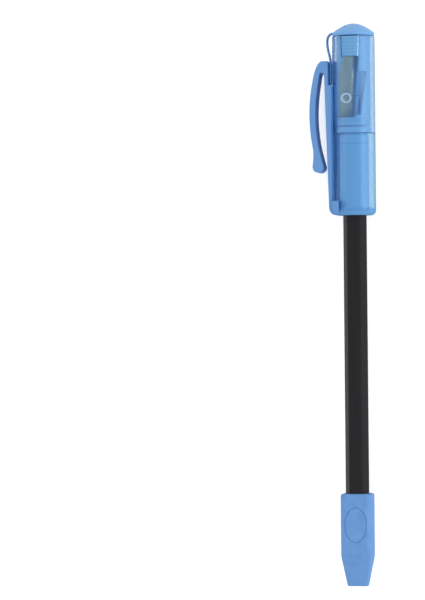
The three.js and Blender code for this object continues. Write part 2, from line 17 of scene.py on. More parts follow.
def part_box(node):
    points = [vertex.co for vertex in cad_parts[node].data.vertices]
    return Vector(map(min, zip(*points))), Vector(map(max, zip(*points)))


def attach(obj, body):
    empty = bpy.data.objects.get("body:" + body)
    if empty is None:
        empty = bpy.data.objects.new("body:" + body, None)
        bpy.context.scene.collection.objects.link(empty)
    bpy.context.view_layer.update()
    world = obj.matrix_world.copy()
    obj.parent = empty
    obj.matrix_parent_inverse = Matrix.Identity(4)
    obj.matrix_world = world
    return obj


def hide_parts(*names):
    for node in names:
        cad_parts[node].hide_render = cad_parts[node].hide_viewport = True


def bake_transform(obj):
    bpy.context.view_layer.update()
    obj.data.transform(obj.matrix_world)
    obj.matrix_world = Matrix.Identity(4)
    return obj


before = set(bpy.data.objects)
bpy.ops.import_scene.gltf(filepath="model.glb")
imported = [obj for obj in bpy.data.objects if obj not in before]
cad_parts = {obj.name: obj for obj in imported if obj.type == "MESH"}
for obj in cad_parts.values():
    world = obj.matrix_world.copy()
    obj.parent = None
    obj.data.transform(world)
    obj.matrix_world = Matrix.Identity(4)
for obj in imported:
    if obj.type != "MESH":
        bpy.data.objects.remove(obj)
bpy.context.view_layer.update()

print("CAD nodes:", ", ".join(sorted(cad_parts)))

# %% [markdown]
# ## Where things are
#
# A pencil is easiest to draw round its own axis. Each point has three values in millimetres: to the
# right of the axis, along it from the eraser's tip, which is called its station, and up. One
# function turns them into metres in the CAD frame. It reads the axis and the tip from the CAD
# nodes, so the drawing follows the solids.

# %% Pencil millimetres to the frame
MM = 0.001

sleeve_low, sleeve_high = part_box("pencil_sleeve")
axis_x = (sleeve_low.x + sleeve_high.x) / 2
axis_z = (sleeve_low.z + sleeve_high.z) / 2
tip_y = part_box("eraser_cap")[0].y


def place(across, station, up):
    """A point beside the pencil's axis, in millimetres, as a point of the frame in metres."""
    return Vector((axis_x + across * MM, tip_y + station * MM, axis_z + up * MM))


print("axis at x", round(axis_x / MM, 3), "z", round(axis_z / MM, 3), "mm")

# %% [markdown]
# ## Camera
#
# The photograph shows hardly any perspective, so the camera gets a long lens and stands about a
# metre away. Its scale comes from the barrel, taken as 7 mm across its flats. The pencil lay rolled
# on its clip by about 12 degrees, and here the camera leans that much instead, because the model
# stays level in its frame.

# %% Photograph and camera
PHOTO_WIDTH = 425
PHOTO_HEIGHT = 600
PIXELS_PER_MM = 3.0505
AXIS_PIXEL_X = 355.7  # the pencil's axis, half way down the photograph
TIP_PIXEL_Y = 587.45  # the eraser's tip
CAMERA_DISTANCE = 1060.0
CAMERA_LEAN = radians(12)
CAMERA_ROLL = radians(0.544)
SENSOR_LENGTH = 36.0


def add_object(name, data):
    """A new object in the scene."""
    made = bpy.data.objects.new(name, data)
    bpy.context.scene.collection.objects.link(made)
    return made


aim_station = (TIP_PIXEL_Y - PHOTO_HEIGHT / 2) / PIXELS_PER_MM
aim_sideways = (AXIS_PIXEL_X - PHOTO_WIDTH / 2) / PIXELS_PER_MM
camera_data = bpy.data.cameras.new("camera")
camera_data.sensor_width = SENSOR_LENGTH
camera_data.lens = SENSOR_LENGTH * CAMERA_DISTANCE * PIXELS_PER_MM / PHOTO_HEIGHT
camera = add_object("camera", camera_data)
camera.matrix_world = (
    Matrix.Translation(place(0, aim_station, 0))
    @ Matrix.Rotation(CAMERA_LEAN, 4, "Y")
    @ Matrix.Translation((-aim_sideways * MM, 0, CAMERA_DISTANCE * MM))
    @ Matrix.Rotation(-CAMERA_ROLL, 4, "Z")
)
bpy.context.scene.camera = camera
bpy.context.scene.view_settings.view_transform = "Standard"
print("lens", round(camera_data.lens, 1), "mm, aimed at station", round(aim_station, 1), "mm")

# %% [markdown]
# ## Colours and nodes
#
# Colours are written as sRGB hex values, as a picture shows them. Shaders want linear light, so one
# function converts them. Another adds a shader node with its values and links and gives back its
# output, which keeps each material short enough to read.

# %% Colours and shader nodes
def linear(code):
    """An sRGB hex colour as the linear colour that shaders use."""
    shares = [int(code[start:start + 2], 16) / 255 for start in (1, 3, 5)]
    return tuple(c / 12.92 if c <= 0.04045 else ((c + 0.055) / 1.055) ** 2.4 for c in shares) + (1.0,)


def add_node(tree, kind, settings=None, links=None, output=0):
    """Adds a node with its settings and input values, links its inputs and gives one of its outputs."""
    node = tree.nodes.new(kind)
    for name, value in (settings or {}).items():
        if isinstance(name, int) or name in node.inputs:
            node.inputs[name].default_value = value
        else:
            setattr(node, name, value)
    for name, source in (links or {}).items():
        tree.links.new(source, node.inputs[name])
    return node.outputs[output]


print("sRGB #808080 is", round(linear("#808080")[0], 3), "in linear light")

# %% [markdown]
# ## Table
#
# The photograph is a studio shot on white paper, so bright that only a trace of shadow is left. A
# plain matt sheet would come out grey. This one also glows a little, but only for the rays that
# show it, straight or through the clear cap, so it doesn't light the object from below.

# %% Table
TABLE_SIZE = 6.0
TABLE_GLOW = 0.5
INNER_GLOW = 0.3


def shown_rays(tree, straight, through):
    """A strength for rays that show a surface: one value straight, another through the clear cap."""
    first = add_node(tree, "ShaderNodeLightPath", output="Is Camera Ray")
    later = add_node(tree, "ShaderNodeLightPath", output="Is Transmission Ray")
    beyond = add_node(tree, "ShaderNodeMath", {"operation": "MULTIPLY", 1: through}, {0: later})
    settings = {"operation": "MULTIPLY_ADD", 1: straight}
    return add_node(tree, "ShaderNodeMath", settings, {0: first, 2: beyond})


def add_mesh(name, shape):
    """A bmesh as an object of the scene."""
    mesh = bpy.data.meshes.new(name)
    shape.to_mesh(mesh)
    shape.free()
    return add_object(name, mesh)


table_shape = bmesh.new()
bmesh.ops.create_grid(table_shape, x_segments=1, y_segments=1, size=TABLE_SIZE / 2)
table = add_mesh("table", table_shape)

table_finish = bpy.data.materials.new("white paper, matt")
table_finish.use_nodes = True
tree = table_finish.node_tree
paper = add_node(tree, "ShaderNodeBsdfDiffuse", {"Color": linear("#f4f4f4")})
glow = add_node(tree, "ShaderNodeEmission", links={"Strength": shown_rays(tree, TABLE_GLOW, INNER_GLOW)})
sheet = add_node(tree, "ShaderNodeAddShader", links={0: paper, 1: glow})
tree.links.new(sheet, tree.nodes["Material Output"].inputs["Surface"])
table.data.materials.append(table_finish)
print("table", TABLE_SIZE, "m wide")

# %% [markdown]
# ## Light
#
# The light of such a shot is soft and comes from all round. A white sky gives most of it here, a
# low lamp lights the facets at the right, and a weaker one keeps the left from going dark. The
# cap's gloss shows no lamp in the photograph, so glossy rays don't see these.

# %% Sky and lamps
SKY_LIGHT = 0.8
KEY_POWER = 4.8
FILL_POWER = 1.4
LAMP_SIZE = 0.9
LAMP_DISTANCE = 1.1
KEY_SIDE = (radians(5), radians(18))  # azimuth, which is 0 at the right, and elevation
FILL_SIDE = (radians(175), radians(32))

world = bpy.data.worlds.new("studio")
bpy.context.scene.world = world
world.use_nodes = True
tree = world.node_tree
lit = add_node(tree, "ShaderNodeBackground", {"Color": linear("#ffffff"), "Strength": SKY_LIGHT})
shown = add_node(tree, "ShaderNodeBackground", {"Color": linear("#ffffff"), "Strength": 1.0})
seen = shown_rays(tree, 1.0, 1.0)
sky = add_node(tree, "ShaderNodeMixShader", links={0: seen, 1: lit, 2: shown})
tree.links.new(sky, tree.nodes["World Output"].inputs["Surface"])


def add_lamp(name, azimuth, elevation, power):
    """A square soft lamp that faces the middle of the pencil."""
    data = bpy.data.lights.new(name, "AREA")
    data.energy = power
    data.size = LAMP_SIZE
    lamp = add_object(name, data)
    flat = cos(elevation)
    towards = Vector((flat * cos(azimuth), flat * sin(azimuth), sin(elevation)))
    lamp.location = place(0, aim_station, 0) + towards * LAMP_DISTANCE
    lamp.rotation_euler = towards.to_track_quat("Z", "Y").to_euler()
    lamp.visible_glossy = False
    print(name, "at", [round(v, 2) for v in lamp.location], "m")


add_lamp("key from the right", *KEY_SIDE, KEY_POWER)
add_lamp("fill from the left", *FILL_SIDE, FILL_POWER)

# %% [markdown]
# ## Patterns for the finishes
#
# No surface is one flat colour, so each finish gets procedural noise in object coordinates. A noise
# has a scale, but the size of its features in millimetres is easier to judge from a photograph, so
# one function turns the one into the other.

# %% Noise in millimetres
def scale_for(size_mm):
    """The texture scale whose features are about this many millimetres across."""
    return 1 / (size_mm * MM)


def noise_over(tree, size_mm, stretch=(1, 1, 1), detail=2.0):
    """Even noise in object space. A stretch below 1 draws the grain out along that axis."""
    where = add_node(tree, "ShaderNodeTexCoord", output="Object")
    scaled = add_node(tree, "ShaderNodeMapping", {"Scale": stretch}, {"Vector": where})
    settings = {"Scale": scale_for(size_mm), "Detail": detail}
    return add_node(tree, "ShaderNodeTexNoise", settings, {"Vector": scaled}, "Fac")


print("a pattern of 2.5 mm has scale", scale_for(2.5))

# %% [markdown]
# A finish starts with the values that hold all over it. Its colour, its roughness and a fine relief
# can then follow a noise: it is mapped to a range, it mixes two colours, or it is read as a height.
# One function joins these to the surface, since each finish needs some of them.

# %% Finishes that follow a noise
NOISE_LOW = 0.3  # most of a noise lies between these two
NOISE_HIGH = 0.7
MIX_COLOURS = (6, 7)  # inputs of a mix node that take its two colours
MIX_RESULT = 2


def new_material(name, sockets):
    """A material and its node tree, with the surface values that hold all over it."""
    made = bpy.data.materials.new(name)
    made.use_nodes = True
    for socket, value in sockets.items():
        made.node_tree.nodes["Principled BSDF"].inputs[socket].default_value = value
    print("finish:", name)
    return made, made.node_tree


def between(tree, value, low, high, start=NOISE_LOW, end=NOISE_HIGH):
    """A number that goes from low to high while a value, such as a noise, goes from start to end."""
    settings = {"From Min": start, "From Max": end, "To Min": low, "To Max": high}
    return add_node(tree, "ShaderNodeMapRange", settings, {"Value": value})


def blend_colours(tree, share, *colours):
    """A colour between two others, each of them a hex colour or a socket."""
    settings = {"data_type": "RGBA"}
    links = {0: share}
    for socket, colour in zip(MIX_COLOURS, colours):
        if isinstance(colour, str):
            settings[socket] = linear(colour)
        else:
            links[socket] = colour
    return add_node(tree, "ShaderNodeMix", settings, links, MIX_RESULT)


def follow(tree, share, colours=None, rough=None, relief=None):
    """Lets a surface follow a noise: with its colour, its roughness, a relief in millimetres."""
    sources = {}
    if colours:
        sources["Base Color"] = blend_colours(tree, share, *colours)
    if rough:
        sources["Roughness"] = between(tree, share, *rough)
    if relief:
        sources["Normal"] = add_node(tree, "ShaderNodeBump", {"Distance": relief * MM}, {"Height": share})
    for socket, source in sources.items():
        tree.links.new(source, tree.nodes["Principled BSDF"].inputs[socket])


print("a noise is taken to run from", NOISE_LOW, "to", NOISE_HIGH)

# %% [markdown]
# ## Lacquered cedar
#
# The barrel is cedar, dipped several times in black lacquer. The coats level out to a nearly smooth
# skin with a faint orange peel and a few long ripples, and one noise gives each of these. The face
# towards the eye looks deep black, while the others mirror the white table and look grey.

# %% Black lacquer
black_lacquer, tree = new_material(
    "black nitrocellulose lacquer, dipped",
    {"IOR": 1.45, "Specular IOR Level": 0.25},
)
ripple = noise_over(tree, 2.5, stretch=(1, 0.08, 1), detail=4.0)
peel = noise_over(tree, 0.7)
follow(tree, ripple, colours=("#141316", "#212023"), relief=0.012)
follow(tree, peel, rough=(0.30, 0.42))

# %% [markdown]
# Where the pencil is sharpened, the cutter leaves bare cedar: pale brown, with darker growth lines
# and fine torn fibres along the pencil. Two stretched noises are enough for wood that shows only
# when the cap is off.

# %% Cut cedar
cut_cedar, tree = new_material("incense cedar, cut by a sharpener", {"Roughness": 0.62, "IOR": 1.45})
grain = noise_over(tree, 0.5, stretch=(1, 0.05, 1), detail=5.0)
fibre = noise_over(tree, 0.18, stretch=(1, 0.12, 1))
wood = blend_colours(tree, grain, "#a9764a", "#d6a678")
follow(tree, between(tree, fibre, 0.0, 0.25), colours=(wood, "#8a5a34"))
follow(tree, fibre, relief=0.02)

# %% [markdown]
# The lead is graphite and clay, fired and soaked in wax. Sharpening polishes it to a dark grey with
# a soft sheen, half way to a metal's, so its metallic value lies in between too.

# %% Graphite
graphite, tree = new_material("graphite and clay, burnished", {"Metallic": 0.35, "IOR": 1.6})
streak = noise_over(tree, 0.12, stretch=(1, 0.2, 1), detail=3.0)
follow(tree, streak, colours=("#2c2c30", "#4a4a50"), rough=(0.32, 0.5))

# %% [markdown]
# ## Eraser rubber
#
# The eraser is a soft vinyl compound with much chalk in it, moulded in a matt tool. It has hardly
# any gloss, a slightly cloudy colour and a fine grain. Such grain is finer than a pixel of the
# photograph, so it is drawn coarser here.

# %% Blue eraser rubber
eraser_rubber, tree = new_material(
    "vinyl eraser compound, moulded matt",
    {"Roughness": 0.62, "IOR": 1.5, "Specular IOR Level": 0.5},
)
cloud = noise_over(tree, 2.2, detail=4.0)
speck = noise_over(tree, 0.45)
body_colour = blend_colours(tree, cloud, "#5289ca", "#72a2df")
follow(tree, between(tree, speck, 0.0, 0.22), colours=(body_colour, "#7aabe3"))
follow(tree, speck, relief=0.03)

# %% [markdown]
# ## Coloured plastic
#
# Clip, lid, strap, sharpener and sleeve are moulded from opaque blue polystyrene with very faint
# flow marks. The tool decides the gloss: the lid's was polished, the clip's fine ground, and the
# pieces inside the cap came out matt. The lid's blue is made lighter than the clip's, as painted
# light from above on its dome. One function makes all three, since only these values differ.

# %% Opaque blue polystyrene
ROUGHNESS_SPREAD = 0.06


def moulded_blue(name, colours, roughness, mirror):
    """Blue polystyrene between two colours, with the roughness and the mirror that its tool gave it."""
    made, tree = new_material(name, {"IOR": 1.5, "Specular IOR Level": mirror})
    flow = noise_over(tree, 3.0, stretch=(1, 0.35, 1), detail=3.0)
    grit = noise_over(tree, 0.5)
    follow(tree, flow, colours=colours, relief=0.015)
    follow(tree, grit, rough=(roughness - ROUGHNESS_SPREAD, roughness + ROUGHNESS_SPREAD))
    return made


clip_plastic = moulded_blue("blue polystyrene, fine ground mould", ("#6795d2", "#6f9fda"), 0.45, 0.2)
# The lid is the clip's polystyrene made lighter: painted light from above on its dome.
lid_plastic_painted_lighter = moulded_blue("blue polystyrene, polished mould", ("#73aae4", "#7bb2ea"), 0.34, 0.35)
inner_plastic = moulded_blue("blue polystyrene, moulded matt", ("#6fa5d6", "#77aede"), 0.7, 0.06)

# %% [markdown]
# ## Clear plastic
#
# The shell is clear polystyrene with a blue dye and a slightly satin skin. The dye takes red out of
# the light on its way, so the shell is pale where it is thin to the eye and deep blue at its sides.
# Absorption in the volume does that by itself. Glass in a path tracer keeps lamps out, since a
# straight line to a lamp can't bend, so the rays that carry light see a plain clear film, and the
# inside is lit as on the table. A little pigment scatters light, most of it in the thick foot.

# %% Clear blue polystyrene
FOOT_CLEAR = 124.4
FOOT_MILKY = 122.6
WALL_PIGMENT = 0.12
FOOT_PIGMENT = 0.75
DYE_DENSITY = 120.0

clear_plastic, tree = new_material(
    "clear blue polystyrene, moulded satin",
    {"Base Color": linear("#f4fbff"), "Transmission Weight": 1.0, "IOR": 1.55},
)
follow(tree, noise_over(tree, 1.5), rough=(0.12, 0.16))
where = add_node(tree, "ShaderNodeTexCoord", output="Object")
along = add_node(tree, "ShaderNodeSeparateXYZ", links={0: where}, output="Y")
in_foot = between(tree, along, 0, 1, place(0, FOOT_CLEAR, 0).y, place(0, FOOT_MILKY, 0).y)
milky = between(tree, in_foot, WALL_PIGMENT, FOOT_PIGMENT, 0, 1)
pigment_colour = blend_colours(tree, in_foot, "#3f86e0", "#6aa4da")
pigment = add_node(tree, "ShaderNodeBsdfDiffuse", links={"Color": pigment_colour})
clear = tree.nodes["Principled BSDF"].outputs[0]
tinted = add_node(tree, "ShaderNodeMixShader", links={0: milky, 1: clear, 2: pigment})
shadow = add_node(tree, "ShaderNodeLightPath", output="Is Shadow Ray")
diffuse = add_node(tree, "ShaderNodeLightPath", output="Is Diffuse Ray")
light_rays = add_node(tree, "ShaderNodeMath", {"operation": "MAXIMUM"}, {0: shadow, 1: diffuse})
film = add_node(tree, "ShaderNodeBsdfTransparent", {"Color": linear("#ffffff")})
whole = add_node(tree, "ShaderNodeMixShader", links={0: light_rays, 1: tinted, 2: film})
dye = add_node(tree, "ShaderNodeVolumeAbsorption", {"Color": linear("#59dfec"), "Density": DYE_DENSITY})
output = tree.nodes["Material Output"]
tree.links.new(whole, output.inputs["Surface"])
tree.links.new(dye, output.inputs["Volume"])

# %% [markdown]
# ## Steel
#
# The blade is carbon steel, ground across its width, so fine scratches run from its back to its
# edge, and its bevel is honed finer. The screw is mild steel with bright nickel on it. All are
# metals with a slight grain in their roughness, and only the ground one needs relief as well.

# %% Blade and screw steel
METAL = {"Metallic": 1.0}

blade_steel, tree = new_material("carbon steel, surface ground", METAL)
scratch = noise_over(tree, 0.35, stretch=(0.12, 1, 0.12), detail=3.0)
follow(tree, scratch, colours=("#979b80", "#abb193"), rough=(0.34, 0.5), relief=0.006)

edge_steel, tree = new_material("carbon steel, honed edge", METAL | {"Base Color": linear("#aab19e")})
follow(tree, noise_over(tree, 0.2, stretch=(0.2, 1, 0.2)), rough=(0.4, 0.5))

nickel, tree = new_material("mild steel, nickel plated", METAL | {"Base Color": linear("#f6f7f5")})
follow(tree, noise_over(tree, 0.5), rough=(0.12, 0.24))

# %% [markdown]
# ## Meshes from rings of points
#
# Most moulded pieces can be drawn as a skin over rings of points that follow their outline from end
# to end, in pencil millimetres. Modifiers are applied at once, so each step leaves a plain mesh. A
# last helper moves that into the frame, shades it smooth between its real edges and gives it its
# finishes.

# %% Helpers for meshes
def skin(name, rings, looped=False, slots=None):
    """Faces between rings, each of many points or one. Without looped, both ends are closed."""
    shape = bmesh.new()
    rows = [[shape.verts.new(point) for point in ring] for ring in rings]
    pairs = zip(rows, rows[1:] + rows[:1] if looped else rows[1:])
    for index, (row, following) in enumerate(pairs):
        for step in range(max(len(row), len(following))):
            corners = [row[step % len(row)], row[(step + 1) % len(row)]]
            corners += [following[(step + 1) % len(following)], following[step % len(following)]]
            distinct = list(dict.fromkeys(corners))
            if len(distinct) > 2:
                shape.faces.new(distinct).material_index = slots[index] if slots else 0
    if not looped:
        shape.faces.new(rows[0])
        shape.faces.new(rows[-1])
    bmesh.ops.recalc_face_normals(shape, faces=shape.faces)
    return add_mesh(name, shape)


def modify(piece, kind, **settings):
    """Gives a piece one modifier with these settings and applies it to the mesh."""
    modifier = piece.modifiers.new(kind, kind)
    for name, value in settings.items():
        setattr(modifier, name, value)
    graph = bpy.context.evaluated_depsgraph_get()
    made = bpy.data.meshes.new_from_object(piece.evaluated_get(graph))
    spent = piece.data
    piece.modifiers.clear()
    piece.data = made
    bpy.data.meshes.remove(spent)
    made.name = piece.name


def into_frame(piece, finishes, angle=38):
    """Moves a piece from millimetres into the frame, smooths its shading and gives it its finishes."""
    for vertex in piece.data.vertices:
        vertex.co = place(*vertex.co)
    piece.data.shade_smooth()
    piece.data.set_sharp_from_angle(angle=radians(angle))
    modify(piece, "WEIGHTED_NORMAL", keep_sharp=True)
    for finish in finishes:
        piece.data.materials.append(finish)
    print(piece.name, "has", len(piece.data.polygons), "faces")


print("meshes start at station 0, which lies at y", round(tip_y / MM, 2), "mm")

# %% [markdown]
# ## Hexagon with round corners
#
# The barrel, the eraser's socket and the sleeve's grip share one outline, a hexagon with round
# corners. A bevelled cylinder with six sides would give it. A function that says how far the
# outline is from the axis in any direction serves all three, and the cone of the point too. The
# directions lie closer together at the corners, where the outline bends.

# %% Hexagon
BARREL_FLATS = 7.0
BARREL_ROUND = 1.0
CORNER_STEPS = 8  # points from a corner to the middle of a flat
CORNER_CROWDING = 1.6  # above 1, they lie closer together at the corner
HALF_SIDE = 30  # degrees from a corner to the middle of a flat


def hexagon_reach(angle, flats):
    """Distance from the axis to a hexagon with the barrel's round corners, one of them at angle 0."""
    half = pi / 6
    centre = (flats / 2 - BARREL_ROUND) / cos(half)
    turn_off = abs((angle + half) % (2 * half) - half)
    rise = BARREL_ROUND * sin(half)
    round_end = atan2(rise, centre + BARREL_ROUND * cos(half))
    if turn_off < round_end:
        half_chord = sqrt(BARREL_ROUND ** 2 - (centre * sin(turn_off)) ** 2)
        return centre * cos(turn_off) + half_chord
    return flats / 2 / cos(half - turn_off)


def ring_at(angles, reaches, stations):
    """Points round the axis, one for each angle."""
    return [
        (reach * cos(angle), station, reach * sin(angle))
        for angle, reach, station in zip(angles, reaches, stations)
    ]


barrel_angles = []
for corner in range(6):
    for step in range(-CORNER_STEPS, CORNER_STEPS):
        off_corner = copysign(HALF_SIDE * abs(step / CORNER_STEPS) ** CORNER_CROWDING, step)
        barrel_angles.append(radians(2 * HALF_SIDE * corner + off_corner))
count = len(barrel_angles)
barrel_reach = [hexagon_reach(angle, BARREL_FLATS) for angle in barrel_angles]
print("barrel", round(2 * max(barrel_reach), 2), "mm across its corners, with", count, "points")

# %% [markdown]
# ## Barrel
#
# A wood-cased pencil is two slats glued round a lead and cut to a hexagon with slightly rounded
# corners. A boolean with a cone could sharpen it. But a corner is further from the axis, so the
# cone reaches it later, and rings that follow this rule give an exact scalloped edge between
# lacquer and wood.

# %% Barrel
BARREL_END = 17.7
END_CUT = 0.15
LEAD_TIP = 145.7
LEAD_RADIUS = 1.05
LEAD_TIP_RADIUS = 0.2
BORE_GAP = 0.02
POINT_SLOPE = tan(radians(12.5))
POINT_APEX = LEAD_TIP + LEAD_TIP_RADIUS / POINT_SLOPE
WOOD_SHARES = (0.3, 0.65, 1.0)  # rings on the cut wood, on the way from the lacquer to the lead

scallop = [POINT_APEX - reach / POINT_SLOPE for reach in barrel_reach]
bore_radius = LEAD_RADIUS + BORE_GAP
wood_end = POINT_APEX - bore_radius / POINT_SLOPE

barrel_rings = [
    ring_at(barrel_angles, [bore_radius] * count, [BARREL_END] * count),
    ring_at(barrel_angles, [reach - END_CUT for reach in barrel_reach], [BARREL_END] * count),
    ring_at(barrel_angles, barrel_reach, [BARREL_END + END_CUT] * count),
    ring_at(barrel_angles, barrel_reach, scallop),
]
for share in WOOD_SHARES:
    reaches = [reach + (bore_radius - reach) * share for reach in barrel_reach]
    stations = [start + (wood_end - start) * share for start in scallop]
    barrel_rings.append(ring_at(barrel_angles, reaches, stations))
barrel = skin("pencil_barrel", barrel_rings, looped=True, slots=[1, 0, 0, 1, 1, 1, 1])
into_frame(barrel, [black_lacquer, cut_cedar], angle=25)
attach(barrel, "pencil")
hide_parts("barrel_upper_slat", "barrel_lower_slat")

# %% [markdown]
# ## Lead
#
# The lead runs through the barrel and ends in the same cone, with a blunt tip. It is a turned
# piece, so one profile of radius and station, swept round the axis, gives all of it. Sharpener,
# sleeve, shell and lid use the same helper.

# %% Lead
LEAD_TIP_CUT = 0.08
ON_AXIS = 1e-6  # a smaller radius is one point on the axis


def turned(name, profile, segments=96):
    """Turns a closed profile of (radius, station) points about the pencil's axis."""
    rings = []
    for radius, station in profile:
        steps = segments if radius > ON_AXIS else 1
        angles = [2 * pi * step / segments for step in range(steps)]
        rings.append([(radius * sin(angle), station, radius * cos(angle)) for angle in angles])
    return skin(name, rings, looped=True)


lead = turned("pencil_lead", [
    (0, BARREL_END),
    (LEAD_RADIUS, BARREL_END),
    (LEAD_RADIUS, POINT_APEX - LEAD_RADIUS / POINT_SLOPE),
    (LEAD_TIP_RADIUS, LEAD_TIP - LEAD_TIP_CUT),
    (LEAD_TIP_RADIUS / 2, LEAD_TIP),
    (0, LEAD_TIP),
], segments=32)
into_frame(lead, [graphite])
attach(lead, "pencil")
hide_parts("graphite_lead")

# %% [markdown]
# ## Curves and rounded corners
#
# Hardly any edge of a moulded piece is sharp. One helper draws a curve between two points, pulled
# towards a third. The next puts such a curve at the corners of an outline that have a third value.
# A bevel modifier could round them later, but here each corner gets its own size and few faces.

# %% Curves and corners
def curve(start, pull, end, steps=8):
    """Points from start to end, drawn towards pull on the way."""
    points = []
    for step in range(steps + 1):
        t = step / steps
        points.append(tuple(
            a * (1 - t) ** 2 + b * 2 * t * (1 - t) + c * t ** 2 for a, b, c in zip(start, pull, end)
        ))
    return points


def rounded(corners, steps=4):
    """A closed outline whose corners are cut back by their third value and rounded."""
    points = []
    for index, (x, y, *cut) in enumerate(corners):
        if not cut:
            points.append((x, y))
            continue
        middle = Vector((x, y))
        beside = [Vector(corners[near][:2]) for near in (index - 1, (index + 1) % len(corners))]
        start, end = [middle + (other - middle).normalized() * cut[0] for other in beside]
        points += curve(start, middle, end, steps)
    return points


print("a rounded corner has", len(curve((0, 1), (0, 0), (1, 0), 4)), "points")

# %% [markdown]
# ## Eraser
#
# The eraser is a chamfered block that draws in to a chisel. Its sides and faces draw in over
# different lengths, and the chamfers run out where they meet. A bevelled cube can't follow that,
# but rings of points with rounded corners can. The ramps start gently, as in moulded rubber.

# %% Eraser's outline
ERASER_LENGTH = 30.4
ERASER_HALF_WIDTH = 5.097
ERASER_HALF_DEPTH = 4.6
ERASER_CHAMFER = 1.3
ERASER_EDGE = 0.28
LEAST_CHAMFER = 2.2 * ERASER_EDGE
TIP_HALF_WIDTH = 3.45
TIP_HALF_DEPTH = 1.3
SIDE_TAPER = 10.1
FACE_TAPER = 12.5
RAMP_EASE = 0.7


def ramp(distance):
    """0 before a ramp and the distance after it, with an eased start."""
    if distance < -RAMP_EASE:
        return 0
    if distance > RAMP_EASE:
        return distance
    return (distance + RAMP_EASE) ** 2 / (4 * RAMP_EASE)


def eraser_ring(station, drawn_in):
    """The eraser's outline at a station, as (right, up) points, drawn in from its full size."""
    half_width = ERASER_HALF_WIDTH
    half_width -= (ERASER_HALF_WIDTH - TIP_HALF_WIDTH) / SIDE_TAPER * ramp(SIDE_TAPER - station)
    half_depth = ERASER_HALF_DEPTH
    half_depth -= (ERASER_HALF_DEPTH - TIP_HALF_DEPTH) / FACE_TAPER * ramp(FACE_TAPER - station)
    full = ERASER_HALF_WIDTH + ERASER_HALF_DEPTH - ERASER_CHAMFER
    cut = max(half_width + half_depth - full, LEAST_CHAMFER)
    x = half_width - drawn_in
    z = half_depth - drawn_in
    corners = [(x, z - cut), (x - cut, z), (cut - x, z), (-x, z - cut)]
    corners += [(-u, -v) for u, v in corners]
    return rounded([(u, v, ERASER_EDGE) for u, v in corners])


print("each outline of the eraser has", len(eraser_ring(ERASER_LENGTH, 0)), "points")

# %% [markdown]
# Both ends of the block are rounded: the outlines there are drawn in along a quarter of a circle.
# At the mouth, the skin goes on inwards to the hexagonal socket, whose points lie in the same
# directions as the outline's, so no boolean is needed.

# %% Eraser block
TIP_ROUND = 0.35
MOUTH_ROUND = 0.75
RING_STEP = 0.35
SOCKET_FLATS = 7.3
SOCKET_FLOOR = 17.4


def rounded_end(steps, radius, station, direction):
    """Stations and insets of a rounded end, from its flat face inwards."""
    angles = [pi / 2 * (1 - step / steps) for step in range(steps + 1)]
    return [
        (station + direction * radius * (1 - sin(angle)), radius * (1 - cos(angle)))
        for angle in angles
    ]


eraser_outlines = rounded_end(4, TIP_ROUND, 0.0, 1)
between_ends = round((ERASER_LENGTH - MOUTH_ROUND) / RING_STEP)
eraser_outlines += [(RING_STEP * step, 0.0) for step in range(2, between_ends - 1)]
eraser_outlines += reversed(rounded_end(5, MOUTH_ROUND, ERASER_LENGTH, -1))
eraser_rings = [
    [(x, station, z) for x, z in eraser_ring(station, drawn_in)]
    for station, drawn_in in eraser_outlines
]
socket_angles = [atan2(z, x) for x, station, z in eraser_rings[-1]]
socket_reach = [hexagon_reach(angle, SOCKET_FLATS) for angle in socket_angles]
for station in (ERASER_LENGTH, SOCKET_FLOOR):
    eraser_rings.append(ring_at(socket_angles, socket_reach, [station] * len(socket_angles)))
eraser = skin("eraser_block", eraser_rings)
print("eraser drawn with", len(eraser_rings), "rings")

# %% [markdown]
# ## Oval on the eraser
#
# The mould pressed a plain oval line into the front. A thin ring, swept round the oval and cut away
# with a boolean, leaves a real groove that light falls into, which a painted line would not.

# %% Oval line
OVAL_STATION = 20.25
OVAL_HALF_WIDTH = 3.6
OVAL_HALF_LENGTH = 5.65
OVAL_GROOVE = 0.24
OVAL_STEPS = 96
GROOVE_SIDES = 10


def combine(piece, tool, operation):
    """Joins a second solid to the piece, cuts it away or keeps what they share."""
    modify(piece, "BOOLEAN", operation=operation, solver="EXACT", object=tool)
    spent = tool.data
    bpy.data.objects.remove(tool)
    bpy.data.meshes.remove(spent)


def cut_away(piece, tool):
    """Cuts a second solid away from the piece."""
    combine(piece, tool, "DIFFERENCE")


oval_rings = []
groove_angles = [2 * pi * side / GROOVE_SIDES for side in range(GROOVE_SIDES)]
for step in range(OVAL_STEPS):
    angle = 2 * pi * step / OVAL_STEPS
    right = cos(angle)
    up = sin(angle)
    outward = Vector((right / OVAL_HALF_WIDTH, up / OVAL_HALF_LENGTH, 0)).normalized()
    line = Vector((OVAL_HALF_WIDTH * right, OVAL_STATION + OVAL_HALF_LENGTH * up, ERASER_HALF_DEPTH))
    oval_rings.append([
        line + outward * OVAL_GROOVE * cos(a) + Vector((0, 0, OVAL_GROOVE * sin(a)))
        for a in groove_angles
    ])
cut_away(eraser, skin("oval", oval_rings, looped=True))
into_frame(eraser, [eraser_rubber], angle=50)
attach(eraser, "eraser")
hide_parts("eraser_cap")

# %% [markdown]
# ## Sleeve
#
# Inside the cap, a sleeve grips the barrel and guards its point. It is a turned rod in the shell's
# narrow bore, with a fine line round it. The room for the point is turned too, but the grip has six
# sides, so a skin over two hexagons is cut away for it.

# %% Sleeve
SLEEVE_BOTTOM = 123.3
SLEEVE_TOP = 147.9
SLEEVE_RADIUS = 4.837
SLEEVE_EDGE = 0.3
SLEEVE_LINE = 144.95
LINE_HALF_WIDTH = 0.15
LINE_DEPTH = 0.2
SLEEVE_GRIP = 6.5
SLEEVE_CEILING = 146.5
ROOM_RADIUS = 4.187
ROOM_OVERLAP = 0.3  # of the room with the grip below it
ROOM_LEAD_IN = 0.2
POINT_ROOM = 0.5
AIR_HOLE = 0.6
PAST = 1.0  # how far a cutting shape reaches past what it cuts

